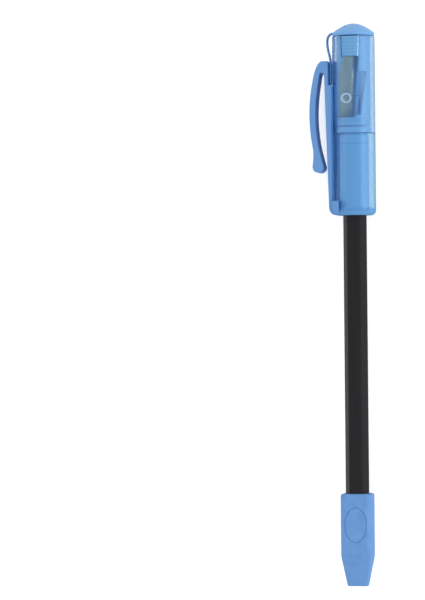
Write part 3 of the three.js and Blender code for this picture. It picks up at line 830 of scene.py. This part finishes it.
sleeve = turned("pencil_sleeve_moulding", rounded([
    (0, SLEEVE_BOTTOM),
    (SLEEVE_RADIUS, SLEEVE_BOTTOM, SLEEVE_EDGE),
    (SLEEVE_RADIUS, SLEEVE_LINE - LINE_HALF_WIDTH),
    (SLEEVE_RADIUS - LINE_DEPTH, SLEEVE_LINE),
    (SLEEVE_RADIUS, SLEEVE_LINE + LINE_HALF_WIDTH),
    (SLEEVE_RADIUS, SLEEVE_TOP, SLEEVE_EDGE),
    (0, SLEEVE_TOP),
]))
grip_top = SLEEVE_BOTTOM + SLEEVE_GRIP
grip_reach = [hexagon_reach(angle, SOCKET_FLATS) for angle in barrel_angles]
grip_ends = (SLEEVE_BOTTOM - PAST, grip_top)
cut_away(sleeve, skin("grip", [ring_at(barrel_angles, grip_reach, [end] * count) for end in grip_ends]))
room_low = min(ROOM_RADIUS, (POINT_APEX - grip_top) * POINT_SLOPE + POINT_ROOM)
room_high = (POINT_APEX - SLEEVE_CEILING) * POINT_SLOPE + POINT_ROOM
cut_away(sleeve, turned("room for the point", [
    (0, grip_top - ROOM_OVERLAP),
    (ROOM_RADIUS, grip_top - ROOM_OVERLAP),
    (room_low, grip_top + ROOM_LEAD_IN),
    (room_high, SLEEVE_CEILING),
    (AIR_HOLE, SLEEVE_CEILING),
    (AIR_HOLE, SLEEVE_TOP + PAST),
    (0, SLEEVE_TOP + PAST),
], segments=48))
into_frame(sleeve, [inner_plastic])
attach(sleeve, "cap")
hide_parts("pencil_sleeve")

# %% [markdown]
# ## Sharpener
#
# The sharpener is a block with a conical hole, open at the top of the cap. One side is cut away
# along the cone, a blade is screwed on there, and the shavings leave through the slot beside its
# edge. All of this hangs on the cutting line, so the cuts are drawn in the blade's own frame:
# across it, along its edge and out of its face.

# %% Blade's own frame
CAP_TOP = 180.0
MOUTH_RADIUS = 4.187
MOUTH_HEIGHT = 2.6
CONE_APEX = CAP_TOP - MOUTH_HEIGHT - MOUTH_RADIUS / POINT_SLOPE
CUTTING_ANGLE = radians(12.5)
BLADE_TURN = radians(15)
BLADE_START = -4.93
BLADE_END = 17.87
SEAT_RISE = 0.1  # the blade's seat, above the cone
SLOT_BOTTOM_WIDTH = 0.15
SLOT_WIDENING = 1.2
FAR = 14.0  # past all of the cap, for cuts that go right through

blade_frame = (
    Matrix.Translation((0, CONE_APEX, 0))
    @ Matrix.Rotation(BLADE_TURN, 4, "Y")
    @ Matrix.Rotation(CUTTING_ANGLE, 4, "X")
    @ Matrix.Translation((0, 0, SEAT_RISE))
)


def on_blade(sideways, along, height):
    """Lift for an outline in the blade's frame."""
    return blade_frame @ Vector((sideways, along, height))


def slot_edge(along):
    """Far side of the slot for the shavings."""
    return SLOT_BOTTOM_WIDTH + SLOT_WIDENING * (along - BLADE_START) / (BLADE_END - BLADE_START)


def slot_strip(low, high, near, wide_low, wide_high):
    """A strip along the slot: from near its cutting edge to some way past its far side."""
    return [
        (near, low),
        (slot_edge(low) + wide_low, low),
        (slot_edge(high) + wide_high, high),
        (near, high),
    ]


print("the cutting line starts at station", round(CONE_APEX, 2), "mm")

# %% [markdown]
# ## Sharpener's block
#
# The block starts as a plain rod between base and collar. The seat for the blade takes away one
# side of it. Beside the slot, a shallow recess and a deeper relief let the shavings fall away, and
# a low pad is left at their lower end. Each of these is one outline in the blade's frame, drawn out
# and cut away.

# %% Block with its cuts
INSERT_RADIUS = 5.447
BASE_TOP = 153.4
COLLAR_BOTTOM = 173.7
OVERLAP = 0.15  # of the block with its base and its collar
LEDGE = 0.1  # from the collar in to the block, and round the cuts
RELIEF_ABOVE_BASE = 2.0
RELIEF_LENGTH = 14.0
PAD_LENGTH = 5.6
RELIEF_LOW = (BASE_TOP + RELIEF_ABOVE_BASE - CONE_APEX) / cos(CUTTING_ANGLE)
RELIEF_HIGH = RELIEF_LOW + RELIEF_LENGTH
PAD_HIGH = RELIEF_LOW + PAD_LENGTH
RELIEF_NEAR = -0.5
RECESS_WIDTHS = (1.5, 2.7)  # widths past the slot, at the lower and at the upper end
RELIEF_WIDTHS = (1.9, 2.6)
PAD_WIDTHS = (0.85, 0.95)
CHANNEL_WIDTHS = (1.4, 1.9)
SEAT_FLOOR = 0.2
RECESS_FLOOR = 2.1
RELIEF_FLOOR = 0.5


def drawn_out(name, outline, low, high, lift):
    """Draws a closed outline out from low to high. lift turns its values into a point."""
    return skin(name, [[lift(u, v, end) for u, v in outline] for end in (low, high)])


def rectangle(left, right, low, high):
    """The corners of a rectangle, anticlockwise."""
    return [(left, low), (right, low), (right, high), (left, high)]


half_block = rectangle(0, INSERT_RADIUS - LEDGE, BASE_TOP - OVERLAP, COLLAR_BOTTOM + OVERLAP)
sharpener = turned("sharpener_moulding", half_block)
channel = [
    (slot_edge(RELIEF_LOW) + PAD_WIDTHS[0], RELIEF_LOW + LEDGE),
    (slot_edge(RELIEF_LOW) + CHANNEL_WIDTHS[0], RELIEF_LOW + LEDGE),
    (slot_edge(PAD_HIGH) + CHANNEL_WIDTHS[1], PAD_HIGH + LEDGE),
    (slot_edge(PAD_HIGH) + PAD_WIDTHS[1], PAD_HIGH + LEDGE),
]
for name, strip, floor in (
    ("seat", slot_strip(-FAR, FAR + BLADE_END, -FAR, 0, 0), SEAT_FLOOR),
    ("recess", slot_strip(RELIEF_LOW, RELIEF_HIGH, RELIEF_NEAR, *RECESS_WIDTHS), RECESS_FLOOR),
    ("relief", slot_strip(PAD_HIGH, RELIEF_HIGH - LEDGE, RELIEF_NEAR, *RELIEF_WIDTHS), RELIEF_FLOOR),
    ("channel beside the pad", channel, RELIEF_FLOOR),
):
    cut_away(sharpener, drawn_out(name, strip, floor, FAR, on_blade))
print("block with", len(sharpener.data.polygons), "faces after the cuts")

# %% [markdown]
# ## Base and collar
#
# A base closes the block below and seats it in the shell, and a collar does so above. Both are
# turned. The base has one groove and two fine lines round it, and a spigot that centres it on the
# sleeve's roof.

# %% Base and collar
SPIGOT_BOTTOM = 147.95
SPIGOT_RADIUS = 4.4
BASE_BOTTOM = 148.5
BASE_GROOVES = ((150.3, 150.9, 1.0), (151.9, 152.15, 0.2), (152.7, 152.95, 0.2))  # low, high, depth

base_profile = [
    (0, SPIGOT_BOTTOM),
    (SPIGOT_RADIUS, SPIGOT_BOTTOM, 0.15),
    (SPIGOT_RADIUS, BASE_BOTTOM),
    (INSERT_RADIUS, BASE_BOTTOM, 0.05),
]
for low, high, deep in BASE_GROOVES:
    base_profile += [(INSERT_RADIUS, low), (INSERT_RADIUS - deep, low)]
    base_profile += [(INSERT_RADIUS - deep, high), (INSERT_RADIUS, high)]
base_profile += [(INSERT_RADIUS, BASE_TOP, 0.15), (0, BASE_TOP)]
combine(sharpener, turned("base", rounded(base_profile)), "UNION")
combine(sharpener, turned("collar", rounded([
    (0, COLLAR_BOTTOM),
    (INSERT_RADIUS, COLLAR_BOTTOM, 0.15),
    (INSERT_RADIUS, CAP_TOP, 0.2),
    (0, CAP_TOP),
])), "UNION")
print("sharpener from station", SPIGOT_BOTTOM, "to", CAP_TOP, "mm")

# %% [markdown]
# ## Ribbed tab
#
# A tab on the collar fills a notch in the shell, a little towards the clip, and its ribs give a
# thumb some grip to draw the sharpener out. Each row of the mesh follows the shell's radius, a wave
# lowers the rows between the ribs, and the sides drop to a small rounded edge.

# %% Ribbed tab
SHELL_RADIUS = 6.997
TAB_TOP_WIDTH = 5.1
TAB_BOTTOM_WIDTH = 4.8
TAB_BOTTOM = 173.4
TAB_RIBS = 5
TAB_RIB_DEPTH = 0.25
TAB_RIB_FLATNESS = 0.6  # below 1, the ribs are broader than the grooves between them
TAB_EDGE = 0.22
TAB_ROOT = 4.6  # height above the axis at which the tab grows out of the collar
TAB_ROWS = 66
TAB_COLUMNS = 20
TAB_TURN = Matrix.Rotation(radians(-3.3), 4, "Y")


def edge_drop(distance):
    """How far a rounded edge lies below its face, at a distance from the side."""
    inside = max(TAB_EDGE - distance, 0)
    return TAB_EDGE - sqrt(max(TAB_EDGE ** 2 - inside ** 2, 0))


tab_rings = []
for row in range(TAB_ROWS + 1):
    share = row / TAB_ROWS
    station = TAB_BOTTOM + (CAP_TOP - TAB_BOTTOM) * share
    half = (TAB_BOTTOM_WIDTH + (TAB_TOP_WIDTH - TAB_BOTTOM_WIDTH) * share) / 2
    wave = 0.5 - 0.5 * cos(2 * pi * share * (TAB_RIBS + 1))
    radius = SHELL_RADIUS - TAB_RIB_DEPTH * (1 - wave ** TAB_RIB_FLATNESS)
    radius -= edge_drop(min(station - TAB_BOTTOM, CAP_TOP - station))
    ring = [(-half, station, TAB_ROOT), (half, station, TAB_ROOT)]
    for column in range(TAB_COLUMNS + 1):
        x = half * cos(pi * column / TAB_COLUMNS)
        ring.append((x, station, sqrt(radius ** 2 - x ** 2) - edge_drop(half - abs(x))))
    tab_rings.append(ring)
tab = skin("tab", tab_rings)
tab.data.transform(TAB_TURN)
combine(sharpener, tab, "UNION")
print("tab with", TAB_RIBS, "ribs")

# %% [markdown]
# ## Cone, pocket and slot
#
# The last cuts go through all that was joined: the cone with its mouth and lead-in, the pocket for
# the blade, and the slot for the shavings. Cutting them last keeps each of them clean from end to
# end.

# %% Cone, pocket and slot
CONE_TIP_RADIUS = 0.4
CONE_TIP_ROOM = 0.3
LEAD_IN = 0.4
BLADE_WIDTH = 4.647
BLADE_FACE = 0.65
BLADE_GAP = 0.15
SLOT_FLOOR = -1.0
SLOT_ABOVE_BLADE = 0.3

cut_away(sharpener, turned("cone", [
    (0, CONE_APEX + CONE_TIP_ROOM),
    (CONE_TIP_RADIUS, CONE_APEX + CONE_TIP_ROOM),
    (CONE_TIP_RADIUS, CONE_APEX + CONE_TIP_RADIUS / POINT_SLOPE),
    (MOUTH_RADIUS, CAP_TOP - MOUTH_HEIGHT),
    (MOUTH_RADIUS, CAP_TOP - LEAD_IN),
    (MOUTH_RADIUS + LEAD_IN + PAST, CAP_TOP + PAST),
    (0, CAP_TOP + PAST),
]))
pocket = rectangle(-BLADE_WIDTH - BLADE_GAP, 0, BLADE_START - BLADE_GAP, BLADE_END + BLADE_GAP)
cut_away(sharpener, drawn_out("pocket", pocket, 0, BLADE_FACE + BLADE_GAP, on_blade))
slot = slot_strip(BLADE_START, BLADE_END, -BLADE_GAP, -LEDGE, -LEDGE)
cut_away(sharpener, drawn_out("slot", slot, SLOT_FLOOR, BLADE_FACE + SLOT_ABOVE_BLADE, on_blade))
into_frame(sharpener, [inner_plastic], angle=30)
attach(sharpener, "cap")
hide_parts("sharpener_body")

# %% [markdown]
# ## Blade
#
# The blade is a small plate stamped from strip. Its edge is ground to a bevel, a second, brighter
# face, and its upper corner is ground off to clear the shell. Five corners below and five above,
# with the bevel's two set back, are all it needs.

# %% Blade
BLADE_BOTTOM = 0.15
EDGE_LINE = -0.15
BEVEL_WIDTH = 0.85
BLADE_TOP_WIDTH = 3.03
BLADE_CORNER = 9.35
BEVEL_SIDE = 1  # the side along the cutting edge
BLADE_EDGE = 0.05


def soften(piece, width, segments, angle):
    """Rounds the edges that are sharper than an angle, in degrees."""
    modify(
        piece, "BEVEL", width=width, segments=segments,
        limit_method="ANGLE", angle_limit=radians(angle), miter_outer="MITER_ARC",
    )


under_outline = [
    (-BLADE_WIDTH, BLADE_START),
    (EDGE_LINE, BLADE_START),
    (EDGE_LINE, BLADE_END),
    (-BLADE_TOP_WIDTH, BLADE_END),
    (-BLADE_WIDTH, BLADE_CORNER),
]
upper_outline = [(u - BEVEL_WIDTH if u == EDGE_LINE else u, v) for u, v in under_outline]
blade = skin("blade_plate", [
    [on_blade(u, v, BLADE_BOTTOM) for u, v in under_outline],
    [on_blade(u, v, BLADE_FACE) for u, v in upper_outline],
])
blade.data.polygons[BEVEL_SIDE].material_index = 1
soften(blade, BLADE_EDGE, segments=1, angle=40)
into_frame(blade, [blade_steel, edge_steel])
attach(blade, "cap")
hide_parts("sharpener_blade")

# %% [markdown]
# ## Screw
#
# One screw holds the blade. Its head has a round rim that catches the light, a shallow dish and a
# cross recess. It is turned like the other round pieces and then set upright on the blade's face.
# Only the ring looks bright, so the dish gets the blade's darker steel as painted shade in its hollow.

# %% Screw
SCREW_FROM_EDGE = 2.6
SCREW_ALONG = 1.727
SHANK_RADIUS = 0.7
SHANK_END = -2.0
HEAD_RADIUS = 1.75
HEAD_FLOOR = BLADE_FACE + BLADE_GAP
HEAD_HEIGHT = 0.6
HEAD_TOP = HEAD_FLOOR + HEAD_HEIGHT
DISH_RADIUS = 1.12
DISH_DEPTH = 0.22
DISH_SLOPE = 0.2
DISH_FLOOR = HEAD_TOP - DISH_DEPTH
CROSS_ARMS = ((0.8, 0.2), (0.2, 0.8))  # half the width and half the height of each
CROSS_DEPTH = 0.2

screw = turned("blade_screw_plated", rounded([
    (0, SHANK_END),
    (SHANK_RADIUS, SHANK_END, 0.15),
    (SHANK_RADIUS, HEAD_FLOOR),
    (HEAD_RADIUS, HEAD_FLOOR, 0.1),
    (HEAD_RADIUS, HEAD_TOP, 0.16),
    (DISH_RADIUS, HEAD_TOP, 0.1),
    (DISH_RADIUS - DISH_SLOPE, DISH_FLOOR, 0.1),
    (0, DISH_FLOOR),
]), segments=48)
for vertex in screw.data.vertices:
    x, height, z = vertex.co
    vertex.co = on_blade(x - SCREW_FROM_EDGE, SCREW_ALONG - z, height)
for wide, tall in CROSS_ARMS:
    arm = rectangle(-SCREW_FROM_EDGE - wide, wide - SCREW_FROM_EDGE, SCREW_ALONG - tall, SCREW_ALONG + tall)
    cut_away(screw, drawn_out("cross", arm, DISH_FLOOR - CROSS_DEPTH, HEAD_TOP + PAST, on_blade))
to_blade = blade_frame.inverted()
# Faces of the dish and the cross get the darker blade steel: painted shade in the hollow of the head.
for face in screw.data.polygons:
    middle = to_blade @ face.center
    off_axis = hypot(middle.x + SCREW_FROM_EDGE, middle.y - SCREW_ALONG)
    face.material_index = 1 if off_axis < DISH_RADIUS and middle.z > HEAD_FLOOR else 0
into_frame(screw, [nickel, blade_steel])
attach(screw, "cap")
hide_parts("blade_screw")

# %% [markdown]
# ## Shell
#
# The shell is one turned tube with a rounded foot and a lip under the sleeve. Its bore steps out to
# take the sharpener. The wall has its real thickness, because the path tracer bends light at both
# faces, and many segments, because each flat would show as a streak. The notch for the tab is cut
# through it.

# %% Shell
SHELL_BOTTOM = 121.5
SHELL_WALL = 1.25
SHELL_STEP = 148.45
SHELL_BORE = 4.987
SHELL_LIP = 1.5
SHELL_LIP_RADIUS = 4.587
SHELL_FOOT = 1.6
NOTCH_GAP = 0.3
NOTCH_ROOT = 1.0  # height above the axis at which the notch starts


def arc(centre, radius, start, end, steps):
    """Points on an arc, with its angles in degrees."""
    angles = [radians(start + (end - start) * step / steps) for step in range(steps + 1)]
    return [(centre[0] + radius * cos(a), centre[1] + radius * sin(a)) for a in angles]


def across(x, station, z):
    """Lift for an outline seen from above: right of the axis, along it, and up."""
    return Vector((x, station, z))


foot_centre = (SHELL_RADIUS - SHELL_FOOT, SHELL_BOTTOM + SHELL_FOOT)
shell_inner = SHELL_RADIUS - SHELL_WALL
lip_top = SHELL_BOTTOM + SHELL_LIP
shell = turned("cap_shell_tube", arc(foot_centre, SHELL_FOOT, -90, 0, 10) + rounded([
    (SHELL_RADIUS, CAP_TOP, 0.25),
    (shell_inner, CAP_TOP, 0.2),
    (shell_inner, SHELL_STEP, 0.1),
    (SHELL_BORE, SHELL_STEP, 0.3),
    (SHELL_BORE, lip_top),
    (SHELL_LIP_RADIUS, lip_top, 0.1),
    (SHELL_LIP_RADIUS, SHELL_BOTTOM, 0.3),
]), segments=256)
notch_bottom = TAB_BOTTOM - NOTCH_GAP
notch = drawn_out("notch", rounded([
    (-TAB_BOTTOM_WIDTH / 2 - NOTCH_GAP, notch_bottom, 0.25),
    (TAB_BOTTOM_WIDTH / 2 + NOTCH_GAP, notch_bottom, 0.25),
    (TAB_TOP_WIDTH / 2 + NOTCH_GAP, CAP_TOP + PAST),
    (-TAB_TOP_WIDTH / 2 - NOTCH_GAP, CAP_TOP + PAST),
]), NOTCH_ROOT, SHELL_RADIUS + PAST, across)
notch.data.transform(TAB_TURN)
cut_away(shell, notch)
into_frame(shell, [clear_plastic])
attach(shell, "cap")
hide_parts("cap_shell")

# %% [markdown]
# ## Lid
#
# The lid is a flat dome with a plug under it and a ring of vent holes. A power curve gives the dome:
# nearly straight flanks that round off at the top and meet the rim at an angle, which neither a ball
# nor an ellipse does.

# %% Lid
LID_BASE = 180.3
LID_HEIGHT = 4.16
LID_RIM = 0.9
LID_POWER = 0.54
DOME_STEPS = 24
PLUG_RADIUS = 3.587
PLUG_WALL = 1.0
PLUG_BOTTOM = LID_BASE - 1.7
HOLLOW_TOP = LID_BASE + 2.0
VENT_COUNT = 6
VENT_RADIUS = 0.35
VENT_CIRCLE = 4.297
VENT_SIDES = 16


def lengthwise(x, z, station):
    """Lift for an outline seen along the pencil."""
    return Vector((x, station, z))


dome = []
for step in range(DOME_STEPS + 1):
    share = sin(step / DOME_STEPS * pi / 2)
    radius = SHELL_RADIUS * max(1 - share, 0) ** LID_POWER
    dome.append((radius, LID_BASE + LID_RIM + (LID_HEIGHT - LID_RIM) * share))
lid = turned("lid_dome", rounded([
    (0, HOLLOW_TOP),
    (PLUG_RADIUS - PLUG_WALL, HOLLOW_TOP, 0.3),
    (PLUG_RADIUS - PLUG_WALL, PLUG_BOTTOM, 0.15),
    (PLUG_RADIUS, PLUG_BOTTOM, 0.3),
    (PLUG_RADIUS, LID_BASE, 0.2),
    (SHELL_RADIUS, LID_BASE, 0.2),
]) + dome, segments=128)
for vent in range(VENT_COUNT):
    angle = 2 * pi * (vent + 0.5) / VENT_COUNT
    centre = (VENT_CIRCLE * sin(angle), VENT_CIRCLE * cos(angle))
    hole = arc(centre, VENT_RADIUS, 0, 360 - 360 / VENT_SIDES, VENT_SIDES - 1)
    cut_away(lid, drawn_out("vent", hole, LID_BASE - PAST, LID_BASE + LID_HEIGHT + PAST, lengthwise))
into_frame(lid, [lid_plastic_painted_lighter])
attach(lid, "lid")
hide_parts("lid")

# %% [markdown]
# ## Strap
#
# The strap is a thin ribbon from a pocket of the clip up to the lid's rim. Its line is straight in
# the pocket, swings out in a soft S and turns over into the rim, so three curves with shared ends
# and directions give it. The real strap bends as the lid swings; this mesh keeps one shape.

# %% Strap
STRAP_HALF_WIDTH = 1.2
STRAP_HALF_THICKNESS = 0.225
STRAP_EDGE = 0.1
CLIP_GAP = 0.3  # from the shell out to the strap and the clip's rail
STRAP_MIDDLE = -(SHELL_RADIUS + CLIP_GAP + STRAP_HALF_THICKNESS)
STRAP_FOOT = 164.5
STRAP_STRAIGHT = 167.8
BOW_START = (STRAP_MIDDLE, 171.0)
BOW_PULL = Vector((STRAP_MIDDLE, 172.4))
CREST_PULL = Vector((-8.66, 176.85))
CREST = (-8.66, 178.35)
RIM_PULL = (-8.66, 181.25)
RIM_END = (-6.3, 181.4)
BEND_SHARE = 0.44  # where the S changes its bend, on the way from one pull to the next
RIM_STEPS = 14

bend = BOW_PULL.lerp(CREST_PULL, BEND_SHARE)
strap_line = [(STRAP_MIDDLE, STRAP_FOOT), (STRAP_MIDDLE, STRAP_STRAIGHT)]
strap_line += curve(BOW_START, BOW_PULL, bend)
strap_line += curve(bend, CREST_PULL, CREST)[1:]
strap_line += curve(CREST, RIM_PULL, RIM_END, RIM_STEPS)[1:]
corners = rectangle(-STRAP_HALF_THICKNESS, STRAP_HALF_THICKNESS, -STRAP_HALF_WIDTH, STRAP_HALF_WIDTH)
section = rounded([(u, v, STRAP_EDGE) for u, v in corners], steps=3)
strap_rings = []
for index, (x, station) in enumerate(strap_line):
    before = Vector(strap_line[max(index - 1, 0)])
    after = Vector(strap_line[min(index + 1, len(strap_line) - 1)])
    forward = (after - before).normalized()
    strap_rings.append([(x + forward.y * u, station - forward.x * u, v) for u, v in section])
strap = skin("lid_strap_ribbon", strap_rings)
into_frame(strap, [clip_plastic], angle=50)
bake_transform(strap)
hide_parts("lid_strap")

# %% [markdown]
# ## Pocket clip
#
# The clip is one moulding: a foot that hugs the shell, a rail up the shell's side, and an arm that
# springs back from the rail's head to a round end. Seen from above it is one closed line, so its
# long edges are drawn first. The rail's face is straight, and the arm bows like a parabola, which a
# middle, a span and a sag describe.

# %% Rail and arm
SADDLE_TOP = 126.2
RAIL_INNER = -(SHELL_RADIUS + CLIP_GAP)
RAIL_FOOT = 0.74
RAIL_GAIN = 1.12 / 38.0  # thickness that the rail gains with each millimetre
ARM_INNER = -12.338
ARM_OUTER = -14.238
ARM_LOW = 143.4
ARM_HIGH = 165.4
ARM_STEPS = 20
BOW_STATION = 154.4
BOW_SPAN = 11.5
BOW_SAG = 1.2
BALL_CENTRE = (-11.53, 137.4)
BALL_RADIUS = 1.82
BALL_ARC = (172, 385)


def rail_outer(station):
    """A point of the rail's outer face, which leans out towards the clip's head."""
    return (RAIL_INNER - RAIL_FOOT - RAIL_GAIN * (station - SADDLE_TOP), station)


def bowed(edge, station):
    """A point of one of the arm's edges."""
    return (edge + BOW_SAG * ((station - BOW_STATION) / BOW_SPAN) ** 2, station)


arm_stations = [ARM_LOW + (ARM_HIGH - ARM_LOW) * step / ARM_STEPS for step in range(ARM_STEPS + 1)]
outer_edge = [bowed(ARM_OUTER, station) for station in reversed(arm_stations)]
inner_edge = [bowed(ARM_INNER, station) for station in arm_stations]
ball = arc(BALL_CENTRE, BALL_RADIUS, *BALL_ARC, 20)
print("arm", round(ARM_INNER - ARM_OUTER, 2), "mm thick, with an end of", 2 * BALL_RADIUS, "mm")

# %% [markdown]
# Curves join the edges to one line: up the rail from the foot to the strap's pocket, over the
# shoulder, down the arm, round its end, up to the slot and down the rail's face. Drawn out to the
# clip's width and softened along its edges, that is the moulding in one piece, where joined blocks
# would leave seams.

# %% Clip's outline
CLIP_HALF_WIDTH = 3.65
CLIP_EDGE = 0.22
RAIL_TOP = 167.2
RAIL_STATIONS = (160, 150, 140, 130)
SADDLE_ROUND = 2.8
SADDLE_RADIUS = SHELL_RADIUS + 0.9
POCKET_FLOOR = 164.2
POCKET_DEPTH = 0.75
POCKET_WALL = RAIL_INNER - POCKET_DEPTH
POCKET_ROUND = 0.3
ROOT_TOP = 172.1
ROOT_EDGE = -9.6
SLOT_TOP = 168.3
SLOT_LEFT = -10.35
SLOT_RIGHT = -10.2
NECK = 141.6
SHOULDER_PULL = (1.25, 0.2)  # this and the next three shape the curves between the edges
OUTER_NECK_PULL = 0.28
INNER_NECK_PULL = 0.42
SLOT_PULL = 0.25

foot_inner = SADDLE_ROUND - SADDLE_RADIUS
foot_turn = SHELL_BOTTOM + SADDLE_ROUND
outline = rounded([
    (foot_inner, SADDLE_TOP),
    (RAIL_INNER, SADDLE_TOP),
    (RAIL_INNER, POCKET_FLOOR),
    (POCKET_WALL, POCKET_FLOOR, POCKET_ROUND),
    (POCKET_WALL, ROOT_TOP, POCKET_ROUND),
    (ROOT_EDGE, ROOT_TOP),
], steps=3)
shoulder = (outer_edge[0][0] + SHOULDER_PULL[0], ROOT_TOP + SHOULDER_PULL[1])
outline += curve((ROOT_EDGE, ROOT_TOP), shoulder, outer_edge[0], 14)[1:]
outline += outer_edge[1:-1]
outline += curve(outer_edge[-1], (outer_edge[-1][0] + OUTER_NECK_PULL, NECK), ball[0], 6)
outline += ball[1:-1]
outline += curve(ball[-1], (inner_edge[0][0] + INNER_NECK_PULL, NECK), inner_edge[0], 6)
outline += inner_edge[1:-1]
outline += curve(inner_edge[-1], (inner_edge[-1][0] + SLOT_PULL, SLOT_TOP), (SLOT_LEFT, SLOT_TOP), 6)
outline += curve((SLOT_RIGHT, SLOT_TOP), rail_outer(SLOT_TOP), rail_outer(RAIL_TOP), 6)
outline += [rail_outer(station) for station in RAIL_STATIONS]
outline += curve(rail_outer(foot_turn), rail_outer(SHELL_BOTTOM), (foot_inner, SHELL_BOTTOM), 8)
clip = drawn_out("pocket_clip", outline, -CLIP_HALF_WIDTH, CLIP_HALF_WIDTH, across)
soften(clip, CLIP_EDGE, segments=3, angle=60)
print("clip outline of", len(outline), "points")

# %% [markdown]
# ## The clip's hold on the shell
#
# At the foot, a band reaches part of the way round the shell, and along the rail a low cradle fills
# the wedge between flat rail and round shell. Both are joined roughly and then trimmed by one
# turned cut that leaves room for the shell. The real arm flexes at its root; this mesh keeps one
# shape.

# %% Foot and cradle
SADDLE_REACH = radians(52)
CRADLE_GAP = 0.08
CRADLE_STEPS = ((CLIP_HALF_WIDTH - 0.1, 0.35), (2.6, 1.2))  # half width and reach from the rail
CRADLE_ROOT = 0.2  # how far it starts inside the rail, and below the pocket
CRADLE_START = SADDLE_TOP - 0.3
BAND_EDGE = 0.15
FOOT_GAP = 0.05

foot_round = arc((-foot_inner, foot_turn), SADDLE_ROUND, -90, 0, 10)
band = turned("band", [(0, SHELL_BOTTOM)] + foot_round + [
    (SADDLE_RADIUS, SADDLE_TOP - BAND_EDGE),
    (SADDLE_RADIUS - BAND_EDGE, SADDLE_TOP),
    (0, SADDLE_TOP),
], segments=128)
seam = -SHELL_RADIUS * cos(SADDLE_REACH)
keep = rectangle(-FAR, seam, SHELL_BOTTOM - PAST, SADDLE_TOP + PAST)
combine(band, drawn_out("keep", keep, -FAR, FAR, across), "INTERSECT")
combine(clip, band, "UNION")
for half_width, reach in CRADLE_STEPS:
    sides = (RAIL_INNER - CRADLE_ROOT, RAIL_INNER + reach)
    cradle = rectangle(*sides, CRADLE_START, POCKET_FLOOR - CRADLE_ROOT)
    combine(clip, drawn_out("cradle", cradle, -half_width, half_width, across), "UNION")
cut_away(clip, turned("room for the shell", [
    (0, SHELL_BOTTOM - FOOT_GAP),
    *arc(foot_centre, SHELL_FOOT + FOOT_GAP, -90, 0, 10),
    (SHELL_RADIUS + CRADLE_GAP, SADDLE_TOP - BAND_EDGE),
    (SHELL_RADIUS + CRADLE_GAP, POCKET_FLOOR + PAST),
    (0, POCKET_FLOOR + PAST),
], segments=128))
into_frame(clip, [clip_plastic], angle=30)
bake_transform(clip)
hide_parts("clip_spine", "clip_arm")
